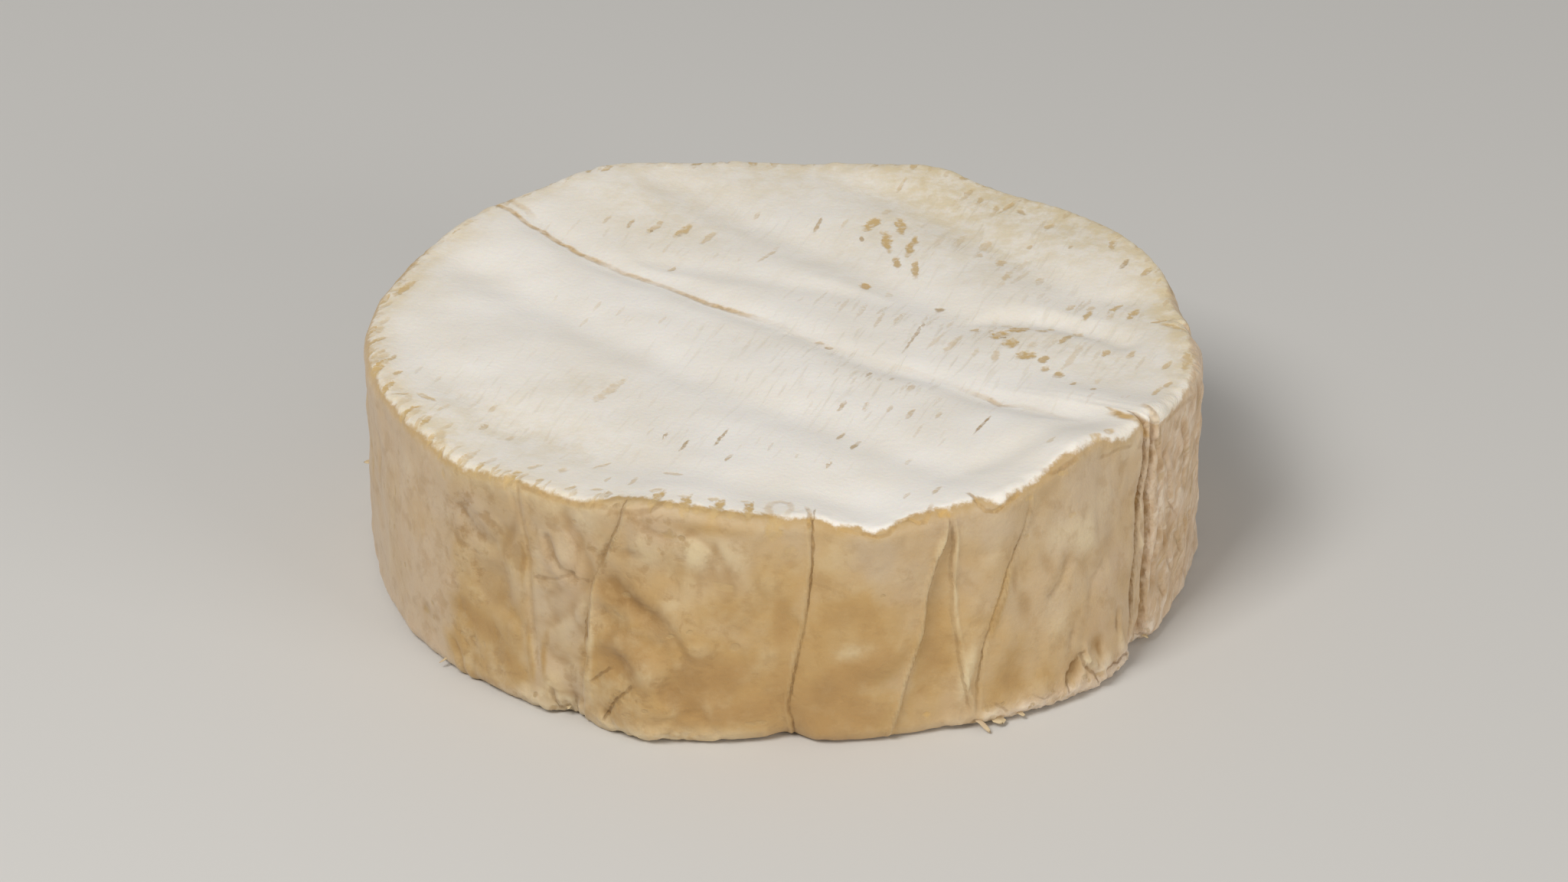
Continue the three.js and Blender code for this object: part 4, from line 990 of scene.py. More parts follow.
# %% Flecks of the rim
# Each fleck of the rim is its bearing, its way down from the edge, its length, width and direction
# in plan, its tint and its strength.
RIM_FLECKS = [
    (127.6, 0.9, 7, 1.1, 38, 0, 0.9), (118.9, 0.6, 2.4, 1, 60, 0, 0.8),
    (116.8, -0.5, 2.4, 1.1, 60, 0, 0.8), (106, 0.6, 1.8, 0.9, 60, 0.1, 0.7),
    (102.6, 0.3, 2.6, 1.1, 60, 0.2, 1), (98, 0.7, 1.8, 0.8, 66, 0, 0.7),
    (94.2, 0.2, 2.4, 1.3, 70, 0, 0.9), (91.3, 0.2, 1.8, 0.9, 70, 0, 0.7),
    (144.1, 0.9, 5, 1.1, 54, 0, 0.9), (147.4, 1.2, 2.6, 1.3, 57, 0, 0.8),
    (153.7, 1.2, 3.4, 1.1, -55, 0, 0.8), (161.6, 1.4, 7, 1.3, 72, 0, 0.9),
    (166.7, -1.1, 5.4, 1.2, 65, 0, 0.9), (170.5, 0.5, 3, 1, 70, 0.1, 0.8),
    (-179.9, 0.4, 2.6, 1.2, 70, 0.1, 0.9), (-176, 0, 4, 0.9, 48, 0.1, 0.9),
    (-172.5, 0.6, 2.4, 0.8, 55, 0.1, 0.7), (-167.5, 0.2, 5, 1.6, 70, 0, 1),
    (-170, -1.7, 2.6, 0.7, 66, 0.2, 0.8), (-165.1, -1.7, 2, 0.8, 60, 0.1, 0.8),
    (-161.6, 0.4, 3.4, 1.2, 60, 0.1, 1), (-158.6, -0.6, 2.4, 0.5, 0, 0.3, 0.7),
    (-156.6, -3.4, 3.2, 1, -45, 0, 0.7), (-153.6, 0.3, 4, 1.2, 40, 0.1, 1),
    (-149.6, -0.6, 3, 0.9, 68, 0.1, 0.9), (-152.4, -4, 3, 0.6, 60, 0, 0.4),
    (-147, -2.3, 3, 0.6, 55, 0, 0.4), (-145.5, 0.6, 2.4, 0.9, 50, 0, 0.8),
    (-142.3, 1.3, 2, 0.8, 50, 0.2, 0.8), (-138.2, 0.6, 2.4, 0.9, 46, 0, 0.7),
    (-134.7, 0.5, 2.6, 1.3, 45, 0, 0.9), (-131.4, 0.4, 1.6, 0.6, 49, 0.1, 0.7),
    (-128.8, 0.4, 3.6, 1.4, 51, 0, 1), (-128.2, -3.5, 2.2, 1.1, 30, 0, 0.5),
    (-124.1, -4.6, 1.6, 1.2, 50, 0, 0.5), (-124.6, -0.2, 2, 0.8, 56, 0.1, 0.7),
    (-120.4, -8.8, 3, 0.7, 35, 0, 0.5), (-119.8, -1, 1.8, 0.9, 60, 0.1, 0.7),
    (-116.6, -5.1, 2, 0.6, 64, 0.1, 0.5), (-116.4, -1.8, 1.8, 0.7, 0, 0.1, 0.6),
    (-112.7, -5.6, 3, 0.8, 75, 0, 0.5), (-108.2, -9.6, 3.4, 1, -15, 0.2, 0.5),
    (-114.3, -0.9, 2, 1.2, 66, 0.5, 0.8), (-111.9, 1.2, 1, 0.8, 0, 1, 0.9),
    (-107.9, -3, 1.7, 1, 12, 0, 0.6), (-106.9, -0.9, 4.8, 1.4, 66, 0.15, 1),
    (-103.5, -2.2, 1.5, 1, -8, 0, 0.55), (-102.8, -0.5, 4.6, 1.4, 80, 0.15, 1),
    (-99.4, -2.7, 1.6, 1, 10, 0, 0.6), (-98.6, -0.7, 4.8, 1.5, 74, 0.15, 1),
    (-94.9, -3.4, 1.5, 1, -6, 0, 0.5), (-94.3, -1.2, 4.8, 1.3, 88, 0.15, 1),
    (-96.6, 0.2, 1.6, 1.2, 60, 0, 0.6), (-100.8, 0.4, 1.6, 1.4, 30, 0, 0.6),
    (-104.9, 0.3, 1.6, 1.2, 70, 0, 0.6), (-90.9, 1.8, 3, 2.2, 90, 0.3, 0.9),
    (-68.5, 1.2, 1.5, 1.1, 0, -0.9, 0.9), (-41.7, 0.8, 2.4, 1.2, 48, -0.1, 0.7),
    (-38.3, 0.4, 2, 1.1, 50, -0.1, 0.7), (-56, 2.6, 1.4, 0.8, 30, -0.3, 0.6),
    (-49.4, 2.4, 1.8, 0.9, 30, -0.2, 0.6), (72.4, 0.6, 2, 1.3, 66, 0, 0.8),
    (75.5, 0.4, 2.4, 0.8, 66, 0.1, 0.7), (69.9, 0.1, 2.6, 1, 66, 0, 0.8),
    (70, -5.2, 3.2, 0.7, 66, 0.1, 0.6), (61.9, 0.5, 2.4, 1.2, 66, 0, 0.8),
    (58.4, 0.9, 2, 1, 66, 0, 0.7), (51.1, -2.8, 5.5, 0.8, 52, 0.1, 0.8),
    (41.2, -4.6, 2.2, 1.2, 60, 0, 0.7), (41.1, 1.2, 2, 1, 66, 0.1, 0.7),
    (36.3, 0.9, 2, 1, 66, 0.1, 0.7), (28.9, -2.3, 3.6, 0.9, 80, 0.1, 0.8),
    (31.8, 0.9, 2, 1, 66, 0.1, 0.7), (27.2, 1.1, 2.2, 1.4, 66, 0.1, 0.8),
    (22.6, -3.4, 2.8, 0.8, 66, 0.7, 0.8), (19.4, -1.1, 3, 0.9, 66, 0.1, 0.8),
    (22.4, 1.4, 2, 0.9, 66, 0, 0.7), (3.4, -2.1, 1.8, 1.6, 66, -0.4, 0.8),
    (1, -0.6, 4, 1.2, -45, 0, 0.8), (-9, -10.9, 3, 1.2, 66, -0.4, 0.8), (-9, -7.7, 3, 1, 66, 0, 0.7),
    (-12.4, -2.9, 3, 0.8, 66, 0, 0.7), (-10.5, -0.4, 6, 1.3, 80, 0.1, 0.8),
    (-21.3, -1.7, 4, 0.8, 66, 0, 0.7), (-18.6, -1.2, 2, 0.8, 66, 0.1, 0.7),
]


def rim_fleck(at, down, length, width, direction, tint, strength):
    """A fleck by bearing and climb. Its direction in plan less the bearing is its angle from
    outward, and outward on the top is down on the unrolled strip, a quarter turn to the right."""
    return [False, at, rim_climb_at(at) - down, direction - at - 90, length / 2, width / 2, tint, strength]


# Each comb of the rim is its first and last bearing, its teeth, and their length, width, direction
# and strength.
RIM_COMBS = [
    (168, 226, 22, 5.2, 1.7, 62, 0.6), (-134, -114, 9, 3, 1, 58, 0.6), (126, 168, 16, 4, 0.9, 52, 0.6),
    (62, 126, 22, 3, 0.9, 64, 0.5), (-12, 62, 22, 3.4, 1, 66, 0.5),
]
RIM_TOOTH_LEAST = 0.35
RIM_JITTER, RIM_SWING = 0.4, 9  # up and down in millimetres, and in degrees
RIM_TOOTH_TINT = 0.2


def rim_teeth(comb, generator):
    """The flecks of one comb along the rim, from its first to its last bearing."""
    start, end, count, length, width, direction, strength = comb
    chance = generator.uniform(RIM_TOOTH_LEAST, 1, (4, count))
    down = generator.normal(0, RIM_JITTER, count)
    swing = generator.normal(0, RIM_SWING, count)
    columns = [
        start + (end - start) * (np.arange(count) + 2 * chance[3]) / count, down, length * chance[0],
        width * chance[1], direction + swing, RIM_TOOTH_TINT * chance[1], strength * chance[2],
    ]
    return [rim_fleck(*tooth) for tooth in zip(*columns)]


flecks += [rim_fleck(*fleck) for fleck in RIM_FLECKS]
for comb in RIM_COMBS:
    flecks += rim_teeth(comb, draw)
print("flecks of the top and the rim:", len(flecks))

# %% [markdown]
# The wall has small dark spots and worn marks. The largest have their own places, and the others
# lie by chance in a few parts of the wall, each with its own lean and number.

# %% Flecks of the wall
# Each fleck of the wall is its bearing, height, width, tallness and lean in degrees, its tint and
# its strength.
WALL_FLECKS = [
    (-95.9, 13.9, 1.3, 1, 0, 0.7, 0.7), (-97.5, 22.2, 3, 1.1, -10, 0.4, 0.5),
    (-88.7, 26.8, 1.6, 2, 0, 0.4, 0.5), (-104.5, 28.6, 1.6, 1.2, 20, 0.7, 0.8),
    (-102.9, 28.2, 1, 0.8, 0, 0.9, 0.8), (-92.9, 3.1, 2.6, 0.7, 0, 0.6, 0.6),
    (-77, 20.7, 0.8, 0.5, 0, 0.7, 0.7), (-110.3, 19.4, 1.3, 0.8, 0, 0.6, 0.6),
    (-111.6, 16.6, 1, 0.8, 0, 0.5, 0.6), (-101.6, 16.1, 0.7, 0.6, 0, 0.6, 0.6),
    (-96.1, 16.6, 0.7, 0.6, 0, 0.6, 0.5), (-104.1, 15.2, 0.9, 0.6, 20, 0.5, 0.6),
    (-109.5, 4, 1.2, 0.7, 0, 0.7, 0.7), (-107.1, 5, 0.9, 0.6, 20, 0.7, 0.7),
    (-110.5, 8.8, 0.8, 0.9, 0, 0.6, 0.6), (-145.4, 6.5, 1.3, 0.9, 20, 0.6, 0.8),
    (-143.6, 6.2, 0.7, 0.7, 0, 0.7, 0.7), (-140.9, 27.4, 0.7, 1.6, 30, 0.4, 0.6),
    (-137.1, 6.4, 0.8, 0.6, 0, 0.5, 0.6), (-135, 6.5, 0.8, 0.6, 20, 0.5, 0.6),
    (-133.1, 6.5, 0.8, 0.6, 0, 0.5, 0.5), (-117.8, 27.9, 0.7, 0.6, 0, 0.6, 0.5),
    (-105.9, 26.4, 0.6, 0.6, 0, 0.6, 0.5), (-70.9, 3.1, 1, 0.8, 0, -0.8, 0.7),
    (-56.4, 24.8, 0.9, 0.6, 0, 0.5, 0.5), (-63.2, 2.8, 0.8, 0.6, 0, -0.5, 0.6),
    (-48.4, 25, 1.4, 0.7, 0, 0.3, 0.4), (60, 20, 1.6, 1.2, 0, 0.4, 0.6),
    (64, 11, 2.2, 1.4, 20, 0.4, 0.6), (84, 24, 1.6, 1, 0, 0.4, 0.6), (112, 8, 2, 1.6, 0, 0.4, 0.6),
    (118, 22, 1.4, 2, 0, 0.4, 0.6), (141, 12, 1.6, 1.2, 0, 0.4, 0.6), (155, 24, 1.4, 1, 0, 0.4, 0.6),
    (36, 24, 1, 2, 0, 0.4, 0.6), (16, 15, 1, 2, 20, 0.4, 0.6),
]
# The small worn marks of parts of the wall: first and last bearing, lowest and highest, how many,
# their lean and its spread in degrees, and the longest and the widest in millimetres.
WALL_PECKS = [
    (-29, 8, 3, 29, 46, -52, 14, 4.2, 0.9), (-66, -31, 0.8, 3.2, 26, -40, 50, 1.8, 0.8),
    (-178, -143, 2, 27, 22, 0, 60, 1.2, 0.9), (-128, -118, 0.8, 2.6, 7, -40, 50, 1.4, 0.7),
    (20, 100, 2, 28, 14, 0, 50, 2, 0.8), (100, 178, 2, 28, 14, -20, 50, 2.2, 0.8),
]
# The least that chance gives a peck, and how much more it may add: shares of the widest and of the
# longest, the tint and the strength.
PECK_WIDTH, PECK_LENGTH, PECK_TINT, PECK_STRENGTH = (0.5, 0.5), (0.35, 0.65), (0.5, 0.5), (0.35, 0.4)


def wall_fleck(at, up, width, tall, lean, tint, strength):
    """A fleck by bearing and climb, whose length stands upright and leans to the left."""
    return [False, at, up, 90 + lean, tall / 2, width / 2, tint, strength]


def chance_pecks(pecks, generator):
    """Flecks of chance on one part of the wall, each with its own lean and size."""
    first, last, lowest, highest, count, lean, lean_spread, longest, widest = pecks
    at, up, *chance = generator.uniform(0, 1, (6, count))
    settings = (PECK_WIDTH, PECK_LENGTH, PECK_TINT, PECK_STRENGTH)
    wide, long, tint, strength = (least + more * share for (least, more), share in zip(settings, chance))
    columns = [
        first + (last - first) * at, lowest + (highest - lowest) * up, widest * wide, longest * long,
        lean + generator.normal(0, lean_spread, count), tint, strength,
    ]
    return [wall_fleck(*peck) for peck in zip(*columns)]


flecks += [wall_fleck(*fleck) for fleck in WALL_FLECKS]
for pecks in WALL_PECKS:
    flecks += chance_pecks(pecks, draw)
flecks = np.array(flecks, dtype=float)
print("all flecks:", len(flecks))

# %% How far a place is from a fleck
FAR = 9  # in half lengths: nothing of a fleck shows there


def from_fleck(fleck, places):
    """Each place's way from the fleck's middle along it and across it, in half lengths and widths:
    its offset turned back by the fleck's direction."""
    in_plan, middle_across, middle_up, direction, half_length, half_width = fleck[:6]
    bearing, climb, x, y, _ = places
    across = np.where(in_plan, x - middle_across, arc(bearing, middle_across))
    over = np.where(in_plan, y, climb) - middle_up
    angle = np.radians(direction)
    along = (across * np.cos(angle) + over * np.sin(angle)) / half_length
    aside = (over * np.cos(angle) - across * np.sin(angle)) / half_width
    return along, aside


to_next = from_fleck(flecks[0], (0, 0, *flecks[1, 1:3], 0))
print("from the first fleck to the second:", np.round(to_next, 1), "half lengths and half widths")

# %% [markdown]
# To give a face its mark, the marks are taken in turn, and each keeps the places that it is nearer
# to than all before it.

# %% The nearest mark
LINES_IN = 6  # how far in from the top's edge the lines of the wall and the rim still count
FLECKS_IN = 14  # the same for the flecks
TOP_MARKS_DOWN = 1.4  # how far down from the edge the marks in plan still count


def nearest(marks, how_far, places, way_down, on_top_side, inward):
    """For each place, the number of the nearest mark that may show there, and how far it is. Marks
    in plan show on the top, and marks by climb on the wall and a little way in from the edge."""
    may_plan = on_top_side & (way_down < TOP_MARKS_DOWN)
    may_climb = way_down > -inward
    least = np.full(len(way_down), np.inf)
    chosen = np.zeros(len(way_down), dtype=int)
    for number, mark in enumerate(marks):
        away = np.where(may_plan if mark[0] else may_climb, how_far(mark, places), np.inf)
        chosen = np.where(away < least, number, chosen)
        least = np.minimum(least, away)
    return chosen, least


def fleck_distance(fleck, places):
    """The distance from a fleck's middle, in half lengths and half widths."""
    return np.hypot(*from_fleck(fleck, places))


def piece_distance(piece, places):
    """The distance from a piece of a line, in half widths."""
    return from_piece(piece, places)[2]


print("marks to choose from:", len(pieces), "pieces of lines and", len(flecks), "flecks")

# %% [markdown]
# ## Fine relief
#
# Four more things give the skin its look. The bloom is a felt a third of a millimetre thick, so it
# ends in a ragged step at the rim. The flecks are worn into it. The wall is crumpled like paper in
# some places, and dimpled and wrinkled in others. And the whole skin is slightly uneven. The points
# are moved along their normals for these, so the mesh is made first to read them.

# %% Where the bloom ends
# How far under the top's edge the bloom ends, in millimetres, round the wheel. Then how much its
# edge is torn, and how thick it is.
BLOOM_ENDS = {
    -180: 0.9, -172: 0.8, -163.8: 0.9, -158: 1.1, -151.8: 1.2, -146: 1.1, -140: 1.2, -136.4: 1.5,
    -132.3: 1.1, -128.6: 0.9, -124.4: 0.9, -120.4: 1, -117.4: 1.2, -114.6: 0.6, -112.3: -0.5,
    -109.5: -0.9, -106: -0.4, -103.1: -0.2, -95: -0.3, -92.2: -0.2, -89.4: 0.8, -86.2: 0.4, -84.1: 0.6,
    -82.8: 1.0, -80: 0.5, -77.7: 1.5, -75: 0.3, -73.1: 0.3, -70.1: 0.3, -67.5: 0.7, -65.3: 0.4,
    -63.1: 0, -62.3: 0.8, -60.6: 1.6, -59.3: 1.1, -56.8: 1.2, -52.5: 0.7, -49.1: 0.5, -45.9: 1.2,
    -40: 1.5, -36: 1.9, -33.4: 1.3, -32: 0.6, -30.6: 1.8, -29: 3, -26: 2.6, -23: 1.6, -18: 1, -12: 0.3,
    -5: 0.2, 3: 1.2, 12: 0.4, 20: 1.3, 28: 0.6, 40: 1.5, 52: 0.5, 64: 1.4, 78: 0.7, 92: 1.4, 106: 0.5,
    118: 1.3, 130: 0.6, 145: 0.9, 160: 0.4, 170: 0.8,
}
BLOOM_TEAR = {-180: 0.5, -140: 0.5, -110: 0.45, -86: 0.6, -38: 0.7, -28: 0.6, 10: 0.8, 140: 0.8}
BLOOM_THICKNESS = {
    -180: 0.08, -140: 0.06, -118: 0.08, -105: 0.1, -92: 0.14, -75: 0.24, -45: 0.28, -30: 0.2, -5: 0.12,
    30: 0.2, 70: 0.3, 110: 0.2, 150: 0.15,
}
UNDER_BLOOM_ENDS = -1.2  # the underside's bloom ends this far in from the foot
TEARS = [(0.45, 5, 1), (0.4, 2.2, 2), (0.25, 1.1, 4)]  # hills of three sizes tear the bloom's edge

torn = layered(plain_points, TEARS)
from_top = way_down - around(BLOOM_ENDS, bearing) + torn * around(BLOOM_TEAR, bearing)
from_below = climb - UNDER_BLOOM_ENDS + torn
bare = np.minimum(from_top, from_below)  # the distance from the bloom, above 0 on the bare wall
print("bare wall:", round(100 * float((bare > 0).mean())), "% of the points")

# %% [markdown]
# Wrapping paper crumpled the wall in some places more than in others, so two lists tell how strong
# crumples and wrinkles are round the wheel. Wrinkles come from hills on a leaning space.

# %% Crumples and wrinkles of the wall
CRUMPLED = {
    -180: 0.1, -142: 0.15, -139: 0.55, -127: 0.5, -122: 0.5, -116: 0.9, -102: 1, -96: 0.5, -88: 0.25,
    -70: 0.3, -50: 0.3, -36: 0.3, -28: 0.6, -5: 0.6, 20: 0.5, 60: 0.6, 100: 0.4, 140: 0.6, 165: 0.3,
}
WRINKLED = {
    -180: 0.35, -142: 0.3, -136: 0.7, -127: 0.6, -110: 0.8, -96: 0.6, -80: 0.5, -50: 0.6, -36: 0.7,
    -29: 1.2, -5: 1.1, 20: 0.6, 60: 0.7, 100: 0.5, 140: 0.7, 165: 0.5,
}
LEAN = 0.5  # wrinkles lean by this share of their height
WRINKLE_STRETCH = 0.5
VALLEY = 0.14  # a valley of the crumpled rind lies where slow hills are within this of 0
# Layers of (height, size, seed).
WRINKLE_LAYERS = [(0.16, 3.0, 5), (0.09, 1.4, 6)]
VALLEY_LAYERS = [(1, 8, 7), (0.6, 4.5, 16)]
VALLEY_DEPTH = 0.32
WALL_BLEND = 3  # the wall's relief and colours grow over this way down from the edge
CRUMPLE_LAYERS = [(0.22, 5, 17)]


def leaning(points):
    """Points turned round the wheel's axis by their height and drawn together in height, so that
    noise on them comes out long and leaning."""
    x, y, z = points.T
    angle = -LEAN * z / RADIUS
    leaned = [x * np.cos(angle) - y * np.sin(angle), x * np.sin(angle) + y * np.cos(angle)]
    return np.stack([*leaned, WRINKLE_STRETCH * z], axis=-1)


def valleys(points, size, seed):
    """A bell of the hills' height, so it peaks along the lines where they cross 0."""
    return bell(hills(points, size, seed), VALLEY)


def wall_relief(points, bearing):
    """Wrinkles are leaning hills of two sizes. Crumples are hills less narrow valleys, which meet and
    part as folds in crumpled paper do."""
    wrinkles = layered(leaning(points), WRINKLE_LAYERS)
    sunk = VALLEY_DEPTH * layered(points, VALLEY_LAYERS, shape=valleys)
    crumples = layered(points, CRUMPLE_LAYERS) - sunk
    return around(WRINKLED, bearing) * wrinkles + around(CRUMPLED, bearing) * crumples


wall_share = step(way_down / WALL_BLEND)
crest = wall_relief(plain_points, bearing) * wall_share
print("wrinkles and crumples from", crest.min().round(2), "to", crest.max().round(2), "mm")

# %% [markdown]
# The bloom is thick at the front right and the back, and thin at the left. Just inside its edge it
# is fluffy. At the foot, where the wrapper was peeled off, the skin is torn into sharp crests.

# %% The bloom and the torn foot
BLOOM_EDGE = 0.9  # the bloom thins out over this length
FLUFF_IN, FLUFF_WIDTH, FLUFF_END = 0.8, 1.2, 1.5  # where fluff peaks, its spread and its end
FLUFF_LAYERS = [(0.09, 1.3, 10), (0.14, 2.4, 12)]
FLUFFY_FOOT = {
    -180: 0.15, -130: 0.3, -124: 1.1, -119: 1.1, -116: 0.3, -112: 0.35, -100: 0.35, -94: 0.15,
    -74: 0.1, -66: 0.5, -58: 0.7, -46: 1, -34: 1, -26: 0.5, -10: 0.3, 40: 0.6, 90: 0.3, 140: 0.6,
}
FOOT_TEARS_UP, FOOT_TEARS_WIDTH = 1, 1.5
FOOT_LAYERS = [(0.3, 2.4, 20), (0.26, 1.2, 21)]


def bloom_relief(points, bearing, bare):
    """The bloom's thickness, which ends in a step, and the fluff near its edge."""
    felt = around(BLOOM_THICKNESS, bearing) * step(0.5 - bare / BLOOM_EDGE)
    near_edge = bell(bare + FLUFF_IN, FLUFF_WIDTH) * (bare < FLUFF_END)
    return felt + near_edge * layered(points, FLUFF_LAYERS)


def foot_relief(points, bearing, climb):
    """The torn edge of the foot: sharp crests of two sizes under a bell near the floor."""
    near_floor = around(FLUFFY_FOOT, bearing) * bell(climb - FOOT_TEARS_UP, FOOT_TEARS_WIDTH)
    return near_floor * layered(points, FOOT_LAYERS, shape=ridges)


bloom_height = bloom_relief(plain_points, bearing, bare)
crest = crest + foot_relief(plain_points, bearing, climb)
print("bloom up to", bloom_height.max().round(2), "mm, crests up to", crest.max().round(2), "mm")

# %% All fine relief
SLOW_LAYERS = [(0.22, 11, 8)]
BUMPS_OF_TOP, BUMPS_OF_WALL = 0.08, 0.1  # the wall has its own bumps on top of the top's
BUMP_SIZE, BUMP_SEED = 4.5, 9
FLECK_DEPTH, FLECK_SPREAD = 0.12, 0.9
NARROWEST_SUNK = 0.4  # narrower flecks are left to the material

bumps = (BUMPS_OF_TOP + BUMPS_OF_WALL * wall_share) * hills(plain_points, BUMP_SIZE, BUMP_SEED)
slow = layered(plain_points, SLOW_LAYERS) + bumps
fleck_number, fleck_away = nearest(flecks, fleck_distance, point_places, way_down, top_side, FLECKS_IN)
*_, fleck_half_width, _, fleck_strength = flecks[fleck_number].T
is_sunk = fleck_half_width >= NARROWEST_SUNK
worn = FLECK_DEPTH * fleck_strength * bell(fleck_away, FLECK_SPREAD) * is_sunk
relief = slow + crest + bloom_height - worn
print("relief from", relief.min().round(2), "to", relief.max().round(2), "mm")

# %% Make the wheel's mesh
def make_mesh(name, points, *face_sets):
    """A mesh object from points in millimetres and arrays of faces, smooth all over."""
    mesh = bpy.data.meshes.new(name)
    mesh.from_pydata(points * MM, [], [face for faces in face_sets for face in faces.tolist()])
    mesh.validate()
    mesh.shade_smooth()
    piece = bpy.data.objects.new(name, mesh)
    bpy.context.scene.collection.objects.link(piece)
    return piece


def set_points(piece, points):
    """Moves all points of a piece at once."""
    piece.data.vertices.foreach_set("co", (points * MM).astype(np.float32).ravel())
    piece.data.update()


middle = (plain_points.min(axis=0) + plain_points.max(axis=0)) / 2 * (1, 1, 0)
wheel = make_mesh("cheese_rind", plain_points - middle, quads, triangles)
normals = np.empty(plain_points.size, dtype=np.float32)
wheel.data.vertex_normals.foreach_get("vector", normals)
points = plain_points + normals.reshape(-1, 3) * relief[:, None]
print("wheel made; its middle was", middle.round(3))

# %% [markdown]
# The wheel has lain on the bars of the rack, so the flat of its underside has shallow grooves too.
# No point of the wheel goes below the floor.

# %% The underside
BARS_ACROSS = (0.6, 0.8)  # the direction in plan from bar to bar
BARS_PITCH = 17
BAR_DEPTH, BAR_SPREAD = 0.5, 4
BARS_IN, BARS_FADE = 4, 8  # the grooves end this far in from the foot, and grow over this length

on_base = np.arange(len(points)) >= base_start - COLUMNS
across_bars = points[:, 0] * BARS_ACROSS[0] + points[:, 1] * BARS_ACROSS[1]
from_bar = (across_bars + BARS_PITCH / 2) % BARS_PITCH - BARS_PITCH / 2
inside_foot = step((RADIUS - BARS_IN - np.hypot(points[:, 0], points[:, 1])) / BARS_FADE)
grooves = BAR_DEPTH * bell(from_bar, BAR_SPREAD) * inside_foot
points[:, 2] = np.where(on_base, grooves, np.maximum(points[:, 2], 0))
set_points(wheel, points - middle)
print("grooves of the underside:", grooves.max().round(2), "mm deep")

# %% [markdown]
# ## Where the colours lie
#
# The wall's paste shows golden where the bloom is thin, and beige to pink where a dry film covers
# it. The top has tan places where the bloom is worn, and its rim and foot have a cream skin between
# bloom and paste. All this follows the wheel and not chance, so it is worked out per point and
# stored in the mesh, and the material reads it. Only the finest grain is left to the material.

# %% Colours round the wheel
GOLDEN = {
    -180: 0.1, -150: 0.12, -140.2: 0.15, -138.4: 0.7, -130: 0.7, -126: 0.7, -124.4: 0.3, -118: 0.3,
    -115: 0.55, -108: 0.7, -100: 0.8, -90: 0.95, -80: 0.86, -72: 0.72, -66: 0.62, -58: 0.55, -50: 0.4,
    -40: 0.3, -32: 0.15, -10: 0.1, 10: 0.25, 40: 0.6, 70: 0.8, 100: 0.5, 130: 0.7, 160: 0.3,
}
MOTTLED = {
    -180: 0.35, -142: 0.35, -137: 0.9, -127: 0.6, -120: 0.45, -115: 0.8, -104: 0.7, -96: 0.45,
    -85: 0.35, -68: 0.35, -50: 0.35, -38: 0.35, -30: 0.55, -5: 0.6, 30: 0.5, 60: 0.65, 100: 0.45,
    140: 0.6,
}
# How strong the tan line under the bloom's edge is, round the wheel. It is partly painted shade under the
# bloom's lip.
EDGE_LINE = {
    -180: 0.4, -165: 0.6, -150: 0.75, -140: 0.8, -134: 0.6, -128: 0.7, -118: 0.7, -112: 0.9, -104: 1,
    -93: 1, -86: 0.6, -76: 0.7, -60: 0.6, -38: 0.4, -25: 0.3, 20: 0.5, 60: 0.7, 100: 0.5, 150: 0.7,
}
CREAM_RIM = {
    -180: 0.25, -165: 0.2, -150: 0.15, -139: 0.3, -132: 0.55, -126: 0.55, -118: 0.5, -108: 0.4,
    -95: 0.2, -85: 0.1, -45: 0.1, -30: 0.3, -20: 0.4, 0: 0.5, 20: 0.7, 50: 0.7, 80: 0.5, 110: 0.5,
    140: 0.5, 160: 0.3,
}
CREAM_FOOT = {
    -180: 0.2, -136: 0.2, -127: 0.9, -119: 0.8, -116: 0.3, -112.5: 0.9, -105: 0.9, -96: 0.6, -90: 0.1,
    -76: 0.1, -66: 0.5, -60: 0.8, -54: 0.6, -46: 0.8, -34: 0.6, -20: 0.3, 40: 0.4, 100: 0.3, 150: 0.4,
}
CREAM_ABOVE = {
    -180: 0.45, -165: 0.5, -146: 0.45, -138: 0.25, -128: 0.25, -110: 0.12, -90: 0.1, -80: 0, -40: 0,
    -33: 0.1, -26: 0.2, -15: 0.6, 0: 0.8, 20: 0.6, 60: 0.5, 100: 0.3, 140: 0.4, 165: 0.6,
}
PINK_FOOT = {
    -180: 0.2, -136: 0.1, -127: 0.3, -119: 0.2, -105: 0.1, -76: 0.05, -66: 0.4, -58: 0.8, -34: 1,
    -20: 0.5, 40: 0.2, 100: 0.4, 150: 0.2,
}
# How streaked the wall is round the wheel. The streaked right side is also painted lighter by it, as
# painted light.
STREAKED = {
    -180: 0.5, -144: 0.45, -138: 0.1, -100: 0.05, -60: 0.1, -46: 0.2, -34: 0.25, -30.5: 0.9, -5: 1,
    20: 0.4, 60: 0.2, 100: 0.5, 140: 0.3,
}
# How strongly the crests of wrinkles and crumples are painted pale round the wheel: painted highlight.
CREST_HIGHLIGHT = {-180: 1.2, -140: 1, -60: 1, -36: 1.4, -28: 2.2, -5: 2.2, 20: 1.2}
print("the wall is most golden at bearing", max(GOLDEN, key=GOLDEN.get))

# %% [markdown]
# On the top, tan places show where the bloom is worn, and fine strokes lie where the wrapper rubbed
# it. Both are sums of round bells.

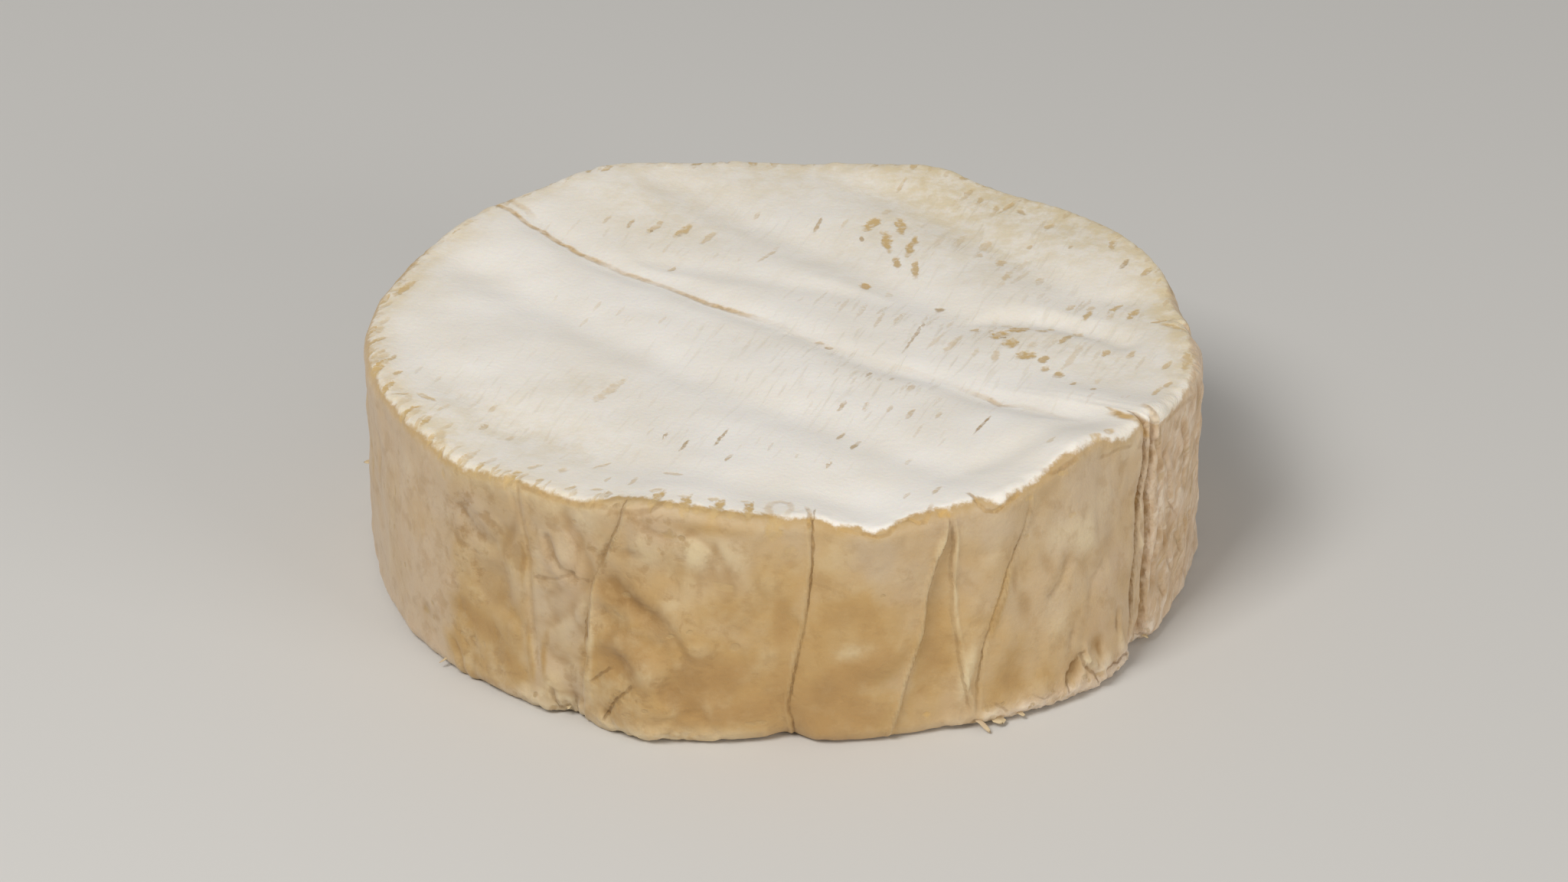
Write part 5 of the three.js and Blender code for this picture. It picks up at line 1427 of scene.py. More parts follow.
# %% Places of the top
# Each place is its x and y, its spread and its strength.
TAN_PLACES = [
    (20, 50, 9, 0.9), (35, 40, 11, 0.9), (46, 28, 9, 0.9), (50, 3, 6, 0.7), (52, 14, 7, 0.8),
    (-47.9, 12.2, 6, 0.35), (-41, 27.5, 3, 0.3), (-25, -15, 4, 0.35), (-40, -25, 11, 0.5),
    (-26, -33, 9, 0.4), (0, 50, 10, 0.6), (20, 36, 10, 0.5), (30, 22, 10, 0.45), (34, -3, 9, 0.4),
    (-14, 30, 10, 0.35), (44, -12, 7, 0.35), (-20, 42, 10, 0.4), (10, 22, 12, 0.25),
]
STROKED_PLACES = [
    (-4, -6, 13, 0.4), (6, -14, 12, 0.5), (14, 0, 9, 0.9), (26, -6, 11, 0.8), (-38, -20, 13, 0.6),
    (-16, -30, 10, 0.4), (24, 26, 12, 0.7), (38, 10, 9, 0.7), (42, -4, 9, 0.7), (-8, 32, 12, 0.4),
    (34, 34, 12, 0.6), (14, -20, 9, 0.4),
]
STROKED_ALL_OVER = 0.1


def sum_of_places(spots, x, y):
    """The sum of round bells on the top, held to 1."""
    bells = (strength * bell(np.hypot(x - at_x, y - at_y), reach) for at_x, at_y, reach, strength in spots)
    return np.clip(sum(bells), 0, 1)


tan = sum_of_places(TAN_PLACES, x, y) * top_side
stroked = np.clip(STROKED_ALL_OVER + sum_of_places(STROKED_PLACES, x, y), 0, 1) * top_side
print("worn to tan:", round(100 * float(tan[top_side].mean())), "% of the top")

# %% [markdown]
# On the wall each value is a list round the wheel times a bell or a step of the height, with the
# patches added. Golden also drifts with slow hills, and its list is read at a bearing that strays.

# %% Values at the points
GOLDEN_AT_RIM, GOLDEN_TO_FOOT, GOLDEN_MOST = 0.5, 0.85, 2  # the wall grows more golden towards the foot
DRIFT = [(0.22, 12, 13)]
BEARING_STRAY = [(2.4, 7, 14), (1.1, 2.6, 19)]
CREAM_DOWN, CREAM_REACH = 0.9, 1.3  # cream peaks this far under the bloom's edge, with this spread
CREAM_UP, CREAM_UP_REACH = 1.4, 1.9  # and again this far above it
CREAM_FOOT_UP, CREAM_FOOT_REACH = 1, 1.4
PINK_UP, PINK_REACH = 1.2, 2.4
# Ribs beside folds are painted pale by this share of their height, as painted highlight.
RIB_HIGHLIGHT = 0.9
RIM_FREE, RIM_BLEND = 1, 1.5  # mottles and streaks start this far above the edge, over this length


def put_values(piece, name, values):
    """Stores one number at each point, which a material can read by its name."""
    attribute = piece.data.attributes.new(name, "FLOAT", "POINT")
    attribute.data.foreach_set("value", np.asarray(values, dtype=np.float32))


_, patch_golden, patch_brown_and_shade, patch_pale_and_highlight = patch_sums(bearing, height, wobble) * wall_share
low = step((HEIGHT - z) / HEIGHT)
strayed_bearing = layered(plain_points, BEARING_STRAY, base=bearing)
golden = around(GOLDEN, strayed_bearing) * (GOLDEN_AT_RIM + GOLDEN_TO_FOOT * low)
golden = layered(plain_points, DRIFT, base=golden) + patch_golden
ribs = fold_sums(bearing, height, wobble)[1] * wall_share
# Pale is the patches' pale film, partly painted highlight, with painted highlight on the ribs and crests.
pale = patch_pale_and_highlight + RIB_HIGHLIGHT * ribs + around(CREST_HIGHLIGHT, bearing) * crest
cream_rim = around(CREAM_RIM, bearing) * bell(from_top - CREAM_DOWN, CREAM_REACH)
cream_above = around(CREAM_ABOVE, bearing) * bell(from_top + CREAM_UP, CREAM_UP_REACH)
cream_foot = around(CREAM_FOOT, bearing) * bell(climb - CREAM_FOOT_UP, CREAM_FOOT_REACH)
under_rim = step((way_down + RIM_FREE) / RIM_BLEND)
pink_foot = around(PINK_FOOT, bearing) * bell(climb - PINK_UP, PINK_REACH)
# The material paints the sunk places darker as painted shade, and the pale ones lighter as painted
# highlight.
for name, values in {
    "bare": bare,
    "golden": np.clip(golden, 0, GOLDEN_MOST),
    "brown": np.clip(patch_brown_and_shade, 0, 1),
    "pale": np.clip(pale, 0, 1),
    "sunk": np.clip(-crest, 0, 1),
    "cream": cream_rim + cream_above + cream_foot,
    "mottled": around(MOTTLED, bearing) * under_rim,
    "streaked": np.clip(around(STREAKED, bearing) + pink_foot, 0, 1) * under_rim,
    "edge_line": around(EDGE_LINE, bearing),
    "tan": tan,
    "stroked": stroked,
}.items():
    put_values(wheel, name, values)
print("values at each point:", [a.name for a in wheel.data.attributes if not a.is_internal])

# %% [markdown]
# A fleck or a line is narrower than a face, so its edge can't be a value at the points. Each face
# picks its nearest fleck and line by its middle. Its corners then store their own way from them, and
# the material works out the sharp edge between.

# %% Marks at the faces' corners
corner_point = np.empty(len(wheel.data.loops), dtype=np.int32)
wheel.data.loops.foreach_get("vertex_index", corner_point)
first_corner = np.empty(len(wheel.data.polygons), dtype=np.int32)
wheel.data.polygons.foreach_get("loop_start", first_corner)
corner_count = np.diff(np.append(first_corner, len(corner_point)))
corner_face = np.repeat(np.arange(len(first_corner)), corner_count)


def of_faces(values):
    """The mean over each face's corners of values at the points."""
    return np.add.reduceat(values[..., corner_point], first_corner, axis=-1) / corner_count


def put_corner_values(piece, name, *values):
    """Stores four numbers at each corner of each face, as a colour that a material can read."""
    attribute = piece.data.attributes.new(name, "FLOAT_COLOR", "CORNER")
    attribute.data.foreach_set("color", np.column_stack(values).astype(np.float32).ravel())


print("corners:", len(corner_point), "of", len(first_corner), "faces")

# %% Each corner's way from its marks
CLOSE = 2  # half widths or half lengths within which a face is counted as marked

corner_places = point_places[:, corner_point]
_, face_climb, face_x, face_y, face_wobble = of_faces(point_places)
face_bearing = np.degrees(np.arctan2(face_y, face_x))
face_places = on_skin(face_bearing, face_climb, face_x, face_y, face_wobble)
face_down = of_faces(way_down)
face_on_top = of_faces(top_side * 1.0) > 0.5

piece_number, piece_away = nearest(pieces, piece_distance, face_places, face_down, face_on_top, LINES_IN)
own_piece = pieces[piece_number[corner_face]].T
*_, half_width, _, _, tint, _, _ = own_piece
aside, strength, _ = from_piece(own_piece, corner_places)
put_corner_values(wheel, "line", aside, half_width, strength, tint)

fleck_number, fleck_away = nearest(flecks, fleck_distance, face_places, face_down, face_on_top, FLECKS_IN)
own_fleck = flecks[fleck_number[corner_face]].T
*_, tint, strength = own_fleck
along, aside = from_fleck(own_fleck, corner_places)
along[fleck_away[corner_face] > FAR] = FAR
put_corner_values(wheel, "fleck", along, aside, tint, strength)
print("faces by a line:", int((piece_away < CLOSE).sum()), "by a fleck:", int((fleck_away < CLOSE).sum()))

# %% [markdown]
# ## Building materials
#
# A material is a graph of nodes. These helpers add a node with its settings and sockets in one
# line, so that a recipe reads from top to bottom. Patterns are laid out in millimetres.

# %% Node helpers
def node(tree, kind, inputs=None, **settings):
    """A new node with its settings, whose inputs are set to a value or linked to a socket."""
    made = tree.nodes.new("ShaderNode" + kind)
    for name, value in settings.items():
        setattr(made, name, value)
    for name, value in (inputs or {}).items():
        if isinstance(value, bpy.types.NodeSocket):
            tree.links.new(value, made.inputs[name])
        else:
            made.inputs[name].default_value = value
    return made


def calculate(tree, operation, a, b=0.0, clamp=False):
    """One sum, difference, product or other step of arithmetic."""
    return node(tree, "Math", {0: a, 1: b}, operation=operation, use_clamp=clamp).outputs[0]


def times(tree, a, b):
    """A product."""
    return calculate(tree, "MULTIPLY", a, b)


def highest(tree, first, *others):
    """The highest of several values."""
    for other in others:
        first = calculate(tree, "MAXIMUM", other, first)
    return first


def between(tree, value, low, high, start=0.0, end=1.0):
    """An eased step from start to end as the value goes from low to high."""
    sockets = {"Value": value, "From Min": low, "From Max": high, "To Min": start, "To Max": end}
    return node(tree, "MapRange", sockets, interpolation_type="SMOOTHSTEP").outputs["Result"]


def blend(tree, share, first, second):
    """A colour between two others."""
    return node(tree, "Mix", {0: share, 6: first, 7: second}, data_type="RGBA").outputs[2]


def noise(tree, place, size, detail=2.0, roughness=0.5, distortion=0.0, output="Fac"):
    """Noise from 0 to 1 whose clouds are about as large as the size, as a number or a colour."""
    sockets = {"Vector": place, "Scale": 1 / size, "Detail": detail, "Roughness": roughness}
    return node(tree, "TexNoise", {**sockets, "Distortion": distortion}).outputs[output]


def stored(tree, name):
    """The number that the mesh stores under this name."""
    return node(tree, "Attribute", attribute_name=name).outputs["Fac"]


def stored_at_corners(tree, name):
    """The first three of the four numbers that the corners store under this name, and the fourth."""
    attribute = node(tree, "Attribute", attribute_name=name).outputs
    return node(tree, "SeparateColor", {0: attribute["Color"]}).outputs, attribute["Alpha"]


def fitted(tree, place, turn, size):
    """A place turned, and in units of the given sizes."""
    sockets = {"Vector": place, "Rotation": turn, "Scale": size}
    return node(tree, "Mapping", sockets, vector_type="TEXTURE").outputs["Vector"]


def paint(red, green, blue):
    """A colour as a picker shows it, from 0 to 255, as the light that it sends back. The curve of
    sRGB is straight near black, and above that a power of 2.4."""
    shares = np.array([red, green, blue]) / 255
    linear = np.where(shares <= 0.04045, shares / 12.92, ((shares + 0.055) / 1.055) ** 2.4)
    return (*linear.tolist(), 1.0)


def new_material(name, settings):
    """A material with its shader's own sockets set, its tree and its shader."""
    material = bpy.data.materials.new(name)
    material.use_nodes = True
    shader = material.node_tree.nodes["Principled BSDF"]
    for socket, value in settings.items():
        shader.inputs[socket].default_value = value
    return material, material.node_tree, shader


def colour_and_bump(tree, shader, colour, height):
    """Links a colour, and a bump from a height in millimetres, to the shader."""
    tree.links.new(colour, shader.inputs["Base Color"])
    bump = node(tree, "Bump", {"Height": height, "Distance": MM, "Strength": 1.0})
    tree.links.new(bump.outputs["Normal"], shader.inputs["Normal"])


print("mid grey sends back", round(paint(128, 128, 128)[0], 2), "of the light")

# %% [markdown]
# ## The skin's grain
#
# Bloom and dry film are both felts of fine threads. One node group gives their fuzz as a height in
# millimetres and their clouds as a share, and every material of the wheel uses it.

# %% The grain group
GRAIN_DETAIL = 3.0
CLOUD_EDGE = (0.3, 0.7)


def make_grain():
    """Fuzz is noise of the grain's size times its height. Clouds are slow noise, eased to 0 to 1."""
    group = bpy.data.node_groups.new("skin_grain", "ShaderNodeTree")
    for name, kind, default in (
        ("Place", "NodeSocketVector", None), ("Grain Size", "NodeSocketFloat", 0.5),
        ("Grain Height", "NodeSocketFloat", 0.05), ("Cloud Size", "NodeSocketFloat", 12.0),
    ):
        socket = group.interface.new_socket(name, in_out="INPUT", socket_type=kind)
        if default is not None:
            socket.default_value = default
    for name in ("Fuzz", "Clouds"):
        group.interface.new_socket(name, in_out="OUTPUT", socket_type="NodeSocketFloat")
    given = group.nodes.new("NodeGroupInput").outputs
    result = group.nodes.new("NodeGroupOutput").inputs
    noises = []
    for size in ("Grain Size", "Cloud Size"):
        scale = calculate(group, "DIVIDE", 1.0, given[size])
        sockets = {"Vector": given["Place"], "Scale": scale, "Detail": GRAIN_DETAIL}
        noises.append(node(group, "TexNoise", sockets).outputs["Fac"])
    group.links.new(times(group, noises[0], given["Grain Height"]), result["Fuzz"])
    group.links.new(between(group, noises[1], *CLOUD_EDGE), result["Clouds"])
    return group


def grained(tree, place, size, height, cloud_size):
    """The grain group in a material: its fuzz and its clouds."""
    sockets = {"Place": place, "Grain Size": size, "Grain Height": height, "Cloud Size": cloud_size}
    return node(tree, "Group", sockets, node_tree=grain).outputs


grain = make_grain()
print("group", grain.name, "with", [item.name for item in grain.interface.items_tree])

# %% [markdown]
# ## The rind
#
# The recipe starts with the two skins, bloom and bare wall, each with its own colours from the
# palest to the darkest thing on it. The ragged mask of the bloom then chooses between them. The
# same masks that darken a crease or a fleck also sink it, so colour and shadow agree.

# %% Colours of the rind
BLOOM_WHITE = paint(242, 237, 229)
BLOOM_WARM = paint(231, 223, 209)
BLOOM_TAN = paint(220, 204, 170)
STROKE_TAN = paint(204, 188, 156)
CREAM = paint(220, 200, 158)
FLECK_TAN = paint(206, 176, 122)
FLECK_DARK = paint(170, 142, 100)
ORANGE = paint(202, 164, 98)
# Brown of lines, partly painted shade in folds and creases.
LINE_BROWN_AND_SHADE = paint(116, 78, 32)
WALL_BEIGE = paint(194, 172, 140)
WALL_GOLDEN = paint(189, 155, 100)
WALL_DEEP = paint(175, 138, 86)
WALL_PINK = paint(196, 169, 142)
# Pinker and lighter than the paste: painted light on the streaked right side.
WALL_ROSE_AND_PAINTED_LIGHT = paint(205, 178, 147)
WALL_WHITE = paint(224, 207, 186)
STREAK_BROWN = paint(178, 142, 102)
# Brown of mottles and brown patches, and also painted shade in the wall's hollows.
WALL_BROWN_AND_SHADE = paint(158, 122, 72)
# Film of the wall and of the flakes, and also the painted highlight on the wall's crests and ribs.
WALL_FILM_AND_HIGHLIGHT = paint(214, 195, 154)
EDGE_TAN_AND_SHADE = paint(184, 150, 92)
print("the bloom sends back", np.round(BLOOM_WHITE[:3], 2), "of the light")

# %% [markdown]
# Below, a noise is its size in millimetres, its detail, its roughness and its distortion. A ramp is
# the two values that it goes between and, where they aren't 0 and 1, what it gives at them.

# %% Where a pattern lies
def skin_place(tree):
    """Object coordinates in millimetres."""
    coordinates = node(tree, "TexCoord").outputs["Object"]
    return node(tree, "VectorMath", {0: coordinates, "Scale": 1 / MM}, operation="SCALE").outputs[0]


def moved(tree, place, sway, amount):
    """A place moved by a noise's colour, less its middle, times an amount."""
    offset = node(tree, "VectorMath", {0: sway, 1: (0.5, 0.5, 0.5)}, operation="SUBTRACT").outputs[0]
    sockets = {0: offset, 1: amount, 2: place}
    return node(tree, "VectorMath", sockets, operation="MULTIPLY_ADD").outputs[0]


def centred(tree, value):
    """Noise less its middle, which is a half."""
    return calculate(tree, "SUBTRACT", value, 0.5)


# %% Flecks and lines in the material
FLECK_SWAY = (1.0, 2.2, 0)  # along and across, in half lengths and half widths
FLECK_EDGE = (1.25, 0.65)
FLECK_NOISE, FLECK_PATCHY = (0.9, 3.0), (0.34, 0.56, 0.5, 1.0)
LINE_SWAY_NOISE, LINE_SWAY = (1.1, 3.0), 0.55
LINE_EDGE = (1.4, 0.35)
LINE_NOISE, LINE_PATCHY = (1.8, 2.0), (0.36, 0.58, 0.6, 1.0)
TINT_NOISE, TINT_PATCHY = (0.9, 2.0), (0.42, 0.58, 1.0, 0.55)


def fleck_mask_and_colour(tree, place, sway):
    """A fleck is worn where the way from its middle, moved by noise, is under 1."""
    (along, aside, tint), fleck_strength = stored_at_corners(tree, "fleck")
    on_fleck = node(tree, "CombineXYZ", {0: along, 1: aside}).outputs[0]
    on_fleck = moved(tree, on_fleck, sway, FLECK_SWAY)
    out = node(tree, "VectorMath", {0: on_fleck}, operation="LENGTH").outputs["Value"]
    patchy = between(tree, noise(tree, place, *FLECK_NOISE), *FLECK_PATCHY)
    mask = times(tree, times(tree, between(tree, out, *FLECK_EDGE), fleck_strength), patchy)
    orange = calculate(tree, "MULTIPLY", tint, -1.0, clamp=True)
    return mask, blend(tree, orange, blend(tree, tint, FLECK_TAN, FLECK_DARK), ORANGE)


def line_mask_and_colour(tree, place):
    """A line is dark where the distance from it, moved by noise, is 0, and it softly fades out."""
    (aside, half_width, line_strength), tint = stored_at_corners(tree, "line")
    sway = times(tree, centred(tree, noise(tree, place, *LINE_SWAY_NOISE)), LINE_SWAY)
    away = calculate(tree, "ABSOLUTE", calculate(tree, "ADD", aside, sway))
    away = calculate(tree, "DIVIDE", away, half_width)
    patchy = between(tree, noise(tree, place, *LINE_NOISE), *LINE_PATCHY)
    mask = times(tree, times(tree, between(tree, away, *LINE_EDGE), line_strength), patchy)
    orange = times(tree, tint, between(tree, noise(tree, place, *TINT_NOISE), *TINT_PATCHY))
    return mask, blend(tree, orange, LINE_BROWN_AND_SHADE, ORANGE)


# %% [markdown]
# The top is white bloom with warm clouds. Over it lie the tan places, the cream skin by the rim, and
# fine strokes in the direction of the combs.

# %% The colour of the top
BLOOM_GRAIN = (0.5, 0.045, 13.0)  # the grain's size, its height and the clouds' size
STROKE_SIZES = (6.0, 0.8, 6.0)
STROKE_NOISE, STROKE_EDGE = (1.0, 1.5, 0.5, 0.3), (0.52, 0.76)
RAGGED_NOISE = (2.6, 5.0, 0.65)
TAN_EDGE, CREAM_EDGE = (0.35, 0.65, 0.35, 1.0), (0.32, 0.6, 0.3, 1.0)
WARM_SHARE, STROKE_SHARE = 0.6, 0.32


def top_colour(tree, place, clouds):
    """The bloom's colours blended in turn. Also the mask of the strokes, and that of the cream."""
    stroke_place = fitted(tree, place, (0, 0, math.radians(COMB_DIRECTION)), STROKE_SIZES)
    strokes = noise(tree, stroke_place, *STROKE_NOISE)
    strokes = times(tree, between(tree, strokes, *STROKE_EDGE), stored(tree, "stroked"))
    ragged = noise(tree, place, *RAGGED_NOISE)
    worn = times(tree, stored(tree, "tan"), between(tree, ragged, *TAN_EDGE))
    cream = times(tree, stored(tree, "cream"), between(tree, ragged, *CREAM_EDGE))
    colour = blend(tree, times(tree, clouds, WARM_SHARE), BLOOM_WHITE, BLOOM_WARM)
    colour = blend(tree, worn, colour, BLOOM_TAN)
    colour = blend(tree, cream, colour, CREAM)
    colour = blend(tree, times(tree, strokes, STROKE_SHARE), colour, STROKE_TAN)
    return colour, strokes, cream


# %% [markdown]
# The wall is beige, pink and golden paste. Streaks lie on its right side, which is also painted
# lighter as painted light. A pale film with painted highlight lies on its crests, brown mottles
# with painted shade lie in its hollows, and a tan line, partly painted shade, runs under the edge of
# the bloom.

# %% The wall's masks
WALL_GRAIN = (0.7, 0.06, 7.0)
MOTTLE_NOISE, FILM_NOISE = (2.6, 4.0, 0.58, 0.2), (4.2, 4.0, 0.58)
MOTTLE_EDGE, BROWN_EDGE = (0.49, 0.68, 0.0, 0.75), (0.34, 0.56, 0.5, 1.0)
SUNK_SHADE_EDGE = (0.06, 0.4, 0.0, 0.55)
FILM_EDGE, PALE_EDGE = (0.46, 0.76, 0.0, 0.6), (0.36, 0.56, 0.4, 1.0)
STREAK_SIZES = (1.3, 1.3, 4.2)  # a streak is long in its own z
STREAK_TURN = (math.radians(-50), 0.0, math.radians(-15))  # which leans in the plane of the right side
STREAK_NOISE = (1.0, 3.0, 0.55, 0.4)
DARK_EDGE, LIGHT_EDGE = (0.55, 0.72, 0.0, 0.6), (0.5, 0.36, 0.0, 0.7)


def dark_and_pale_masks(tree, place):
    """Mottles and film from noise, and brown and pale from the values at the points, each broken up
    by the same noise. Brown also holds painted shade in sunk places, and pale holds painted highlight."""
    mottles, films = noise(tree, place, *MOTTLE_NOISE), noise(tree, place, *FILM_NOISE)
    mottled = stored(tree, "mottled")
    mottle = times(tree, between(tree, mottles, *MOTTLE_EDGE), mottled)
    film = times(tree, between(tree, films, *FILM_EDGE), mottled)
    brown = times(tree, stored(tree, "brown"), between(tree, mottles, *BROWN_EDGE))
    pale = times(tree, stored(tree, "pale"), between(tree, films, *PALE_EDGE))
    # Sunk places are painted brown as painted shade.
    sunk = between(tree, stored(tree, "sunk"), *SUNK_SHADE_EDGE)
    return mottle, highest(tree, sunk, brown, mottle), film, highest(tree, pale, film)


def streak_masks(tree, place, streaked):
    """Dark streaks where stretched noise is high and light ones where it is low, times the square
    of how streaked the wall is."""
    streaks = noise(tree, fitted(tree, place, STREAK_TURN, STREAK_SIZES), *STREAK_NOISE)
    strongly = times(tree, streaked, streaked)
    dark = times(tree, between(tree, streaks, *DARK_EDGE), strongly)
    return dark, times(tree, between(tree, streaks, *LIGHT_EDGE), strongly)


# %% The colour of the wall
CLOUD_SHARE = 0.5
DEEP_EDGE = (0.7, 1.5, 0.0, 0.8)
PINK_NOISE, PINK_EDGE = (9.0, 3.0), (0.48, 0.72, 0.0, 0.4)
EDGE_LINE_EDGE, EDGE_LINE_SHARE = (1.8, 0.2), 0.85


def wall_colour(tree, place, clouds, cream, bare):
    """The wall's colours blended in turn. Also the masks that stand out or are sunk."""
    streaked = stored(tree, "streaked")
    golden = calculate(tree, "ADD", stored(tree, "golden"), times(tree, centred(tree, clouds), CLOUD_SHARE))
    pink = between(tree, noise(tree, place, *PINK_NOISE), *PINK_EDGE)
    mottle, hollows, film, films = dark_and_pale_masks(tree, place)
    dark, light = streak_masks(tree, place, streaked)
    edge_line = times(tree, between(tree, bare, *EDGE_LINE_EDGE), stored(tree, "edge_line"))
    colour = blend(tree, pink, WALL_BEIGE, WALL_PINK)
    # Over the paste: rose, which paints light on the streaked side; film, which also paints highlight on
    # crests and ribs; brown, which also paints shade in hollows; and the edge's tan, partly painted shade.
    for share, over in (
        (streaked, WALL_ROSE_AND_PAINTED_LIGHT), (calculate(tree, "MINIMUM", golden, 1.0), WALL_GOLDEN),
        (between(tree, golden, *DEEP_EDGE), WALL_DEEP),
        (highest(tree, films, light), blend(tree, streaked, WALL_FILM_AND_HIGHLIGHT, WALL_WHITE)),
        (dark, STREAK_BROWN), (hollows, WALL_BROWN_AND_SHADE), (cream, blend(tree, streaked, CREAM, WALL_WHITE)),
        (times(tree, edge_line, EDGE_LINE_SHARE), EDGE_TAN_AND_SHADE),
    ):
        colour = blend(tree, share, colour, over)
    return colour, {"mottles": mottle, "film": film, "dark streaks": dark, "light streaks": light}


# %% [markdown]
# The mask of the bare wall chooses between the two colours. It is the distance from the bloom's edge,
# torn once more by fine noise, so that the edge is sharper than the mesh. Flecks and lines lie over
# both skins. Each mask also moves the surface a little, all in one bump.

# %% The rind's material
SWAY_NOISE = (1.1, 2.0)
TEAR_NOISE, TEAR_SWAY = (1.1, 5.0, 0.65), 1.8
BARE_EDGE = (-0.4, 0.35)
BLOOM_TO_WALL_ROUGHNESS = (0.0, 1.0, 0.95, 0.6)
LINE_SHARE = 0.9
MARK_HEIGHTS = {
    "strokes": -0.06, "flecks": -0.08, "lines": -0.12, "mottles": -0.1, "film": 0.08,
    "dark streaks": -0.1, "light streaks": 0.08,
}
SOFT_SKIN = {
    "Specular IOR Level": 0.3, "Subsurface Weight": 0.12, "Subsurface Radius": (1.0, 0.7, 0.4),
    "Subsurface Scale": 0.002, "Sheen Weight": 0.12, "Sheen Roughness": 0.6,
}


def make_rind():
    """Bloom and wall colours chosen by the bloom's mask, with one bump from all heights."""
    material, tree, shader = new_material("rind", SOFT_SKIN)
    place = skin_place(tree)
    bloom_grain, wall_grain = grained(tree, place, *BLOOM_GRAIN), grained(tree, place, *WALL_GRAIN)
    tearing = times(tree, centred(tree, noise(tree, place, *TEAR_NOISE)), TEAR_SWAY)
    bare = calculate(tree, "ADD", stored(tree, "bare"), tearing)
    bare_mask = between(tree, bare, *BARE_EDGE)

    top, strokes, cream = top_colour(tree, place, bloom_grain["Clouds"])
    wall, masks = wall_colour(tree, place, wall_grain["Clouds"], cream, bare)
    sway = noise(tree, place, *SWAY_NOISE, output="Color")
    flecks_mask, fleck_colour = fleck_mask_and_colour(tree, place, sway)
    lines_mask, line_colour = line_mask_and_colour(tree, place)
    colour = blend(tree, bare_mask, top, wall)
    colour = blend(tree, flecks_mask, colour, fleck_colour)
    colour = blend(tree, times(tree, lines_mask, LINE_SHARE), colour, line_colour)

    masks |= {"strokes": strokes, "flecks": flecks_mask, "lines": lines_mask}
    height = calculate(tree, "ADD", bloom_grain["Fuzz"], wall_grain["Fuzz"])
    for name, depth in MARK_HEIGHTS.items():
        sockets = {0: masks[name], 1: depth, 2: height}
        height = node(tree, "Math", sockets, operation="MULTIPLY_ADD").outputs[0]
    colour_and_bump(tree, shader, colour, height)
    tree.links.new(between(tree, bare_mask, *BLOOM_TO_WALL_ROUGHNESS), shader.inputs["Roughness"])
    return material


rind = make_rind()
wheel.data.materials.append(rind)
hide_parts("cheese_wheel")
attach(wheel, "root")
print("rind has", len(rind.node_tree.nodes), "nodes")

# %% [markdown]
# ## Flakes
#
# Where the wrapper was peeled off, it tore little tongues out of the skin, most of them at the
# foot. A tongue is a thin oval carried along a short path that leaves the wall and droops to the
# floor. Its width goes to nothing at its tip, and its root is inside the wall.

# %% Flakes of the foot
# Each flake is its bearing, height, length, width, droop at its tip and turn to the right.
FLAKES = [
    (-63.9, 1.3, 1.5, 0.8, 1.0, 1.0), (-61.2, 1.0, 0.6, 1.8, 0.3, 0.4),
    (-57.8, 1.0, 0.4, 0.9, 0.3, 0.3), (-45.2, 1.4, 0.4, 0.9, 0.3, 0.3),
    (-36.4, 1.6, 0.5, 0.8, 0.4, 0.3), (-31.0, 1.2, 0.4, 0.7, 0.3, 0.2),
    (-141, 1.4, 0.9, 0.4, 0.5, -0.4), (-178.6, 12.4, 1.0, 1.0, 0.1, 0.2),
    (-119.5, 1.6, 0.4, 1.0, 0.3, 0), (28, 1.2, 0.8, 1.1, 0.4, 0.3), (64, 1.4, 0.7, 0.9, 0.4, -0.3),
    (96, 1.1, 0.6, 1.1, 0.4, 0.2), (134, 1.6, 0.7, 0.8, 0.5, 0.4),
]
FLAKE_ROOT = 1.0  # how deep inside the wall a flake starts
FLAKE_THICKNESS = 0.22
FLAKE_STEPS, FLAKE_SIDES = 12, 14
# How much a flake's width is torn and how much it curls, as shares of its width. Then the hills
# that do so: their number along the flake, their size and their seed.
FLAKE_TEAR, FLAKE_CURL = 0.5, 0.25
TEAR_HILLS, CURL_HILLS = (3, 1.0, 15), (2, 1.3, 18)


def flake_hills(way, round_it, shift, number, size, seed):
    """Hills along and round a flake, shifted so that each flake has its own."""
    return hills(np.stack([way * number, 0 * way + shift, np.cos(round_it)], axis=-1), size, seed)


def flake_points(at, up, length, width, droop, aside):
    """Points of one flake: thin ovals across a path that leaves the wall, and droops and turns aside
    by the square of the way along it. The width is the root of 1 less the cube of the way, made
    ragged by hills."""
    way, round_it = np.meshgrid(
        np.linspace(0, 1, FLAKE_STEPS), np.arange(FLAKE_SIDES) / FLAKE_SIDES * 2 * math.pi, indexing="ij")
    out = np.array([math.cos(math.radians(at)), math.sin(math.radians(at)), 0])
    right = np.array([-out[1], out[0], 0])
    full = np.sqrt(1 - way**3)
    ragged = 1 + FLAKE_TEAR * flake_hills(way, round_it, at, *TEAR_HILLS)
    across = 0.5 * width * full * ragged * np.cos(round_it) + 0.5 * aside * length * way**2
    curl = FLAKE_CURL * width * flake_hills(way, round_it, -at, *CURL_HILLS)
    lift = 0.5 * FLAKE_THICKNESS * full * np.sin(round_it) - droop * way**2 + curl * way
    outward = way * (length + FLAKE_ROOT) - FLAKE_ROOT
    start = on_wall(at, up)
    return start + outward[..., None] * out + across[..., None] * right + lift[..., None] * [0, 0, 1]


print("the first flake lies at", flake_points(*FLAKES[0]).mean(axis=(0, 1)).round(1))

# %% Make the flakes' mesh
MERGED = 0.00001  # in metres: the points of a tip are one point

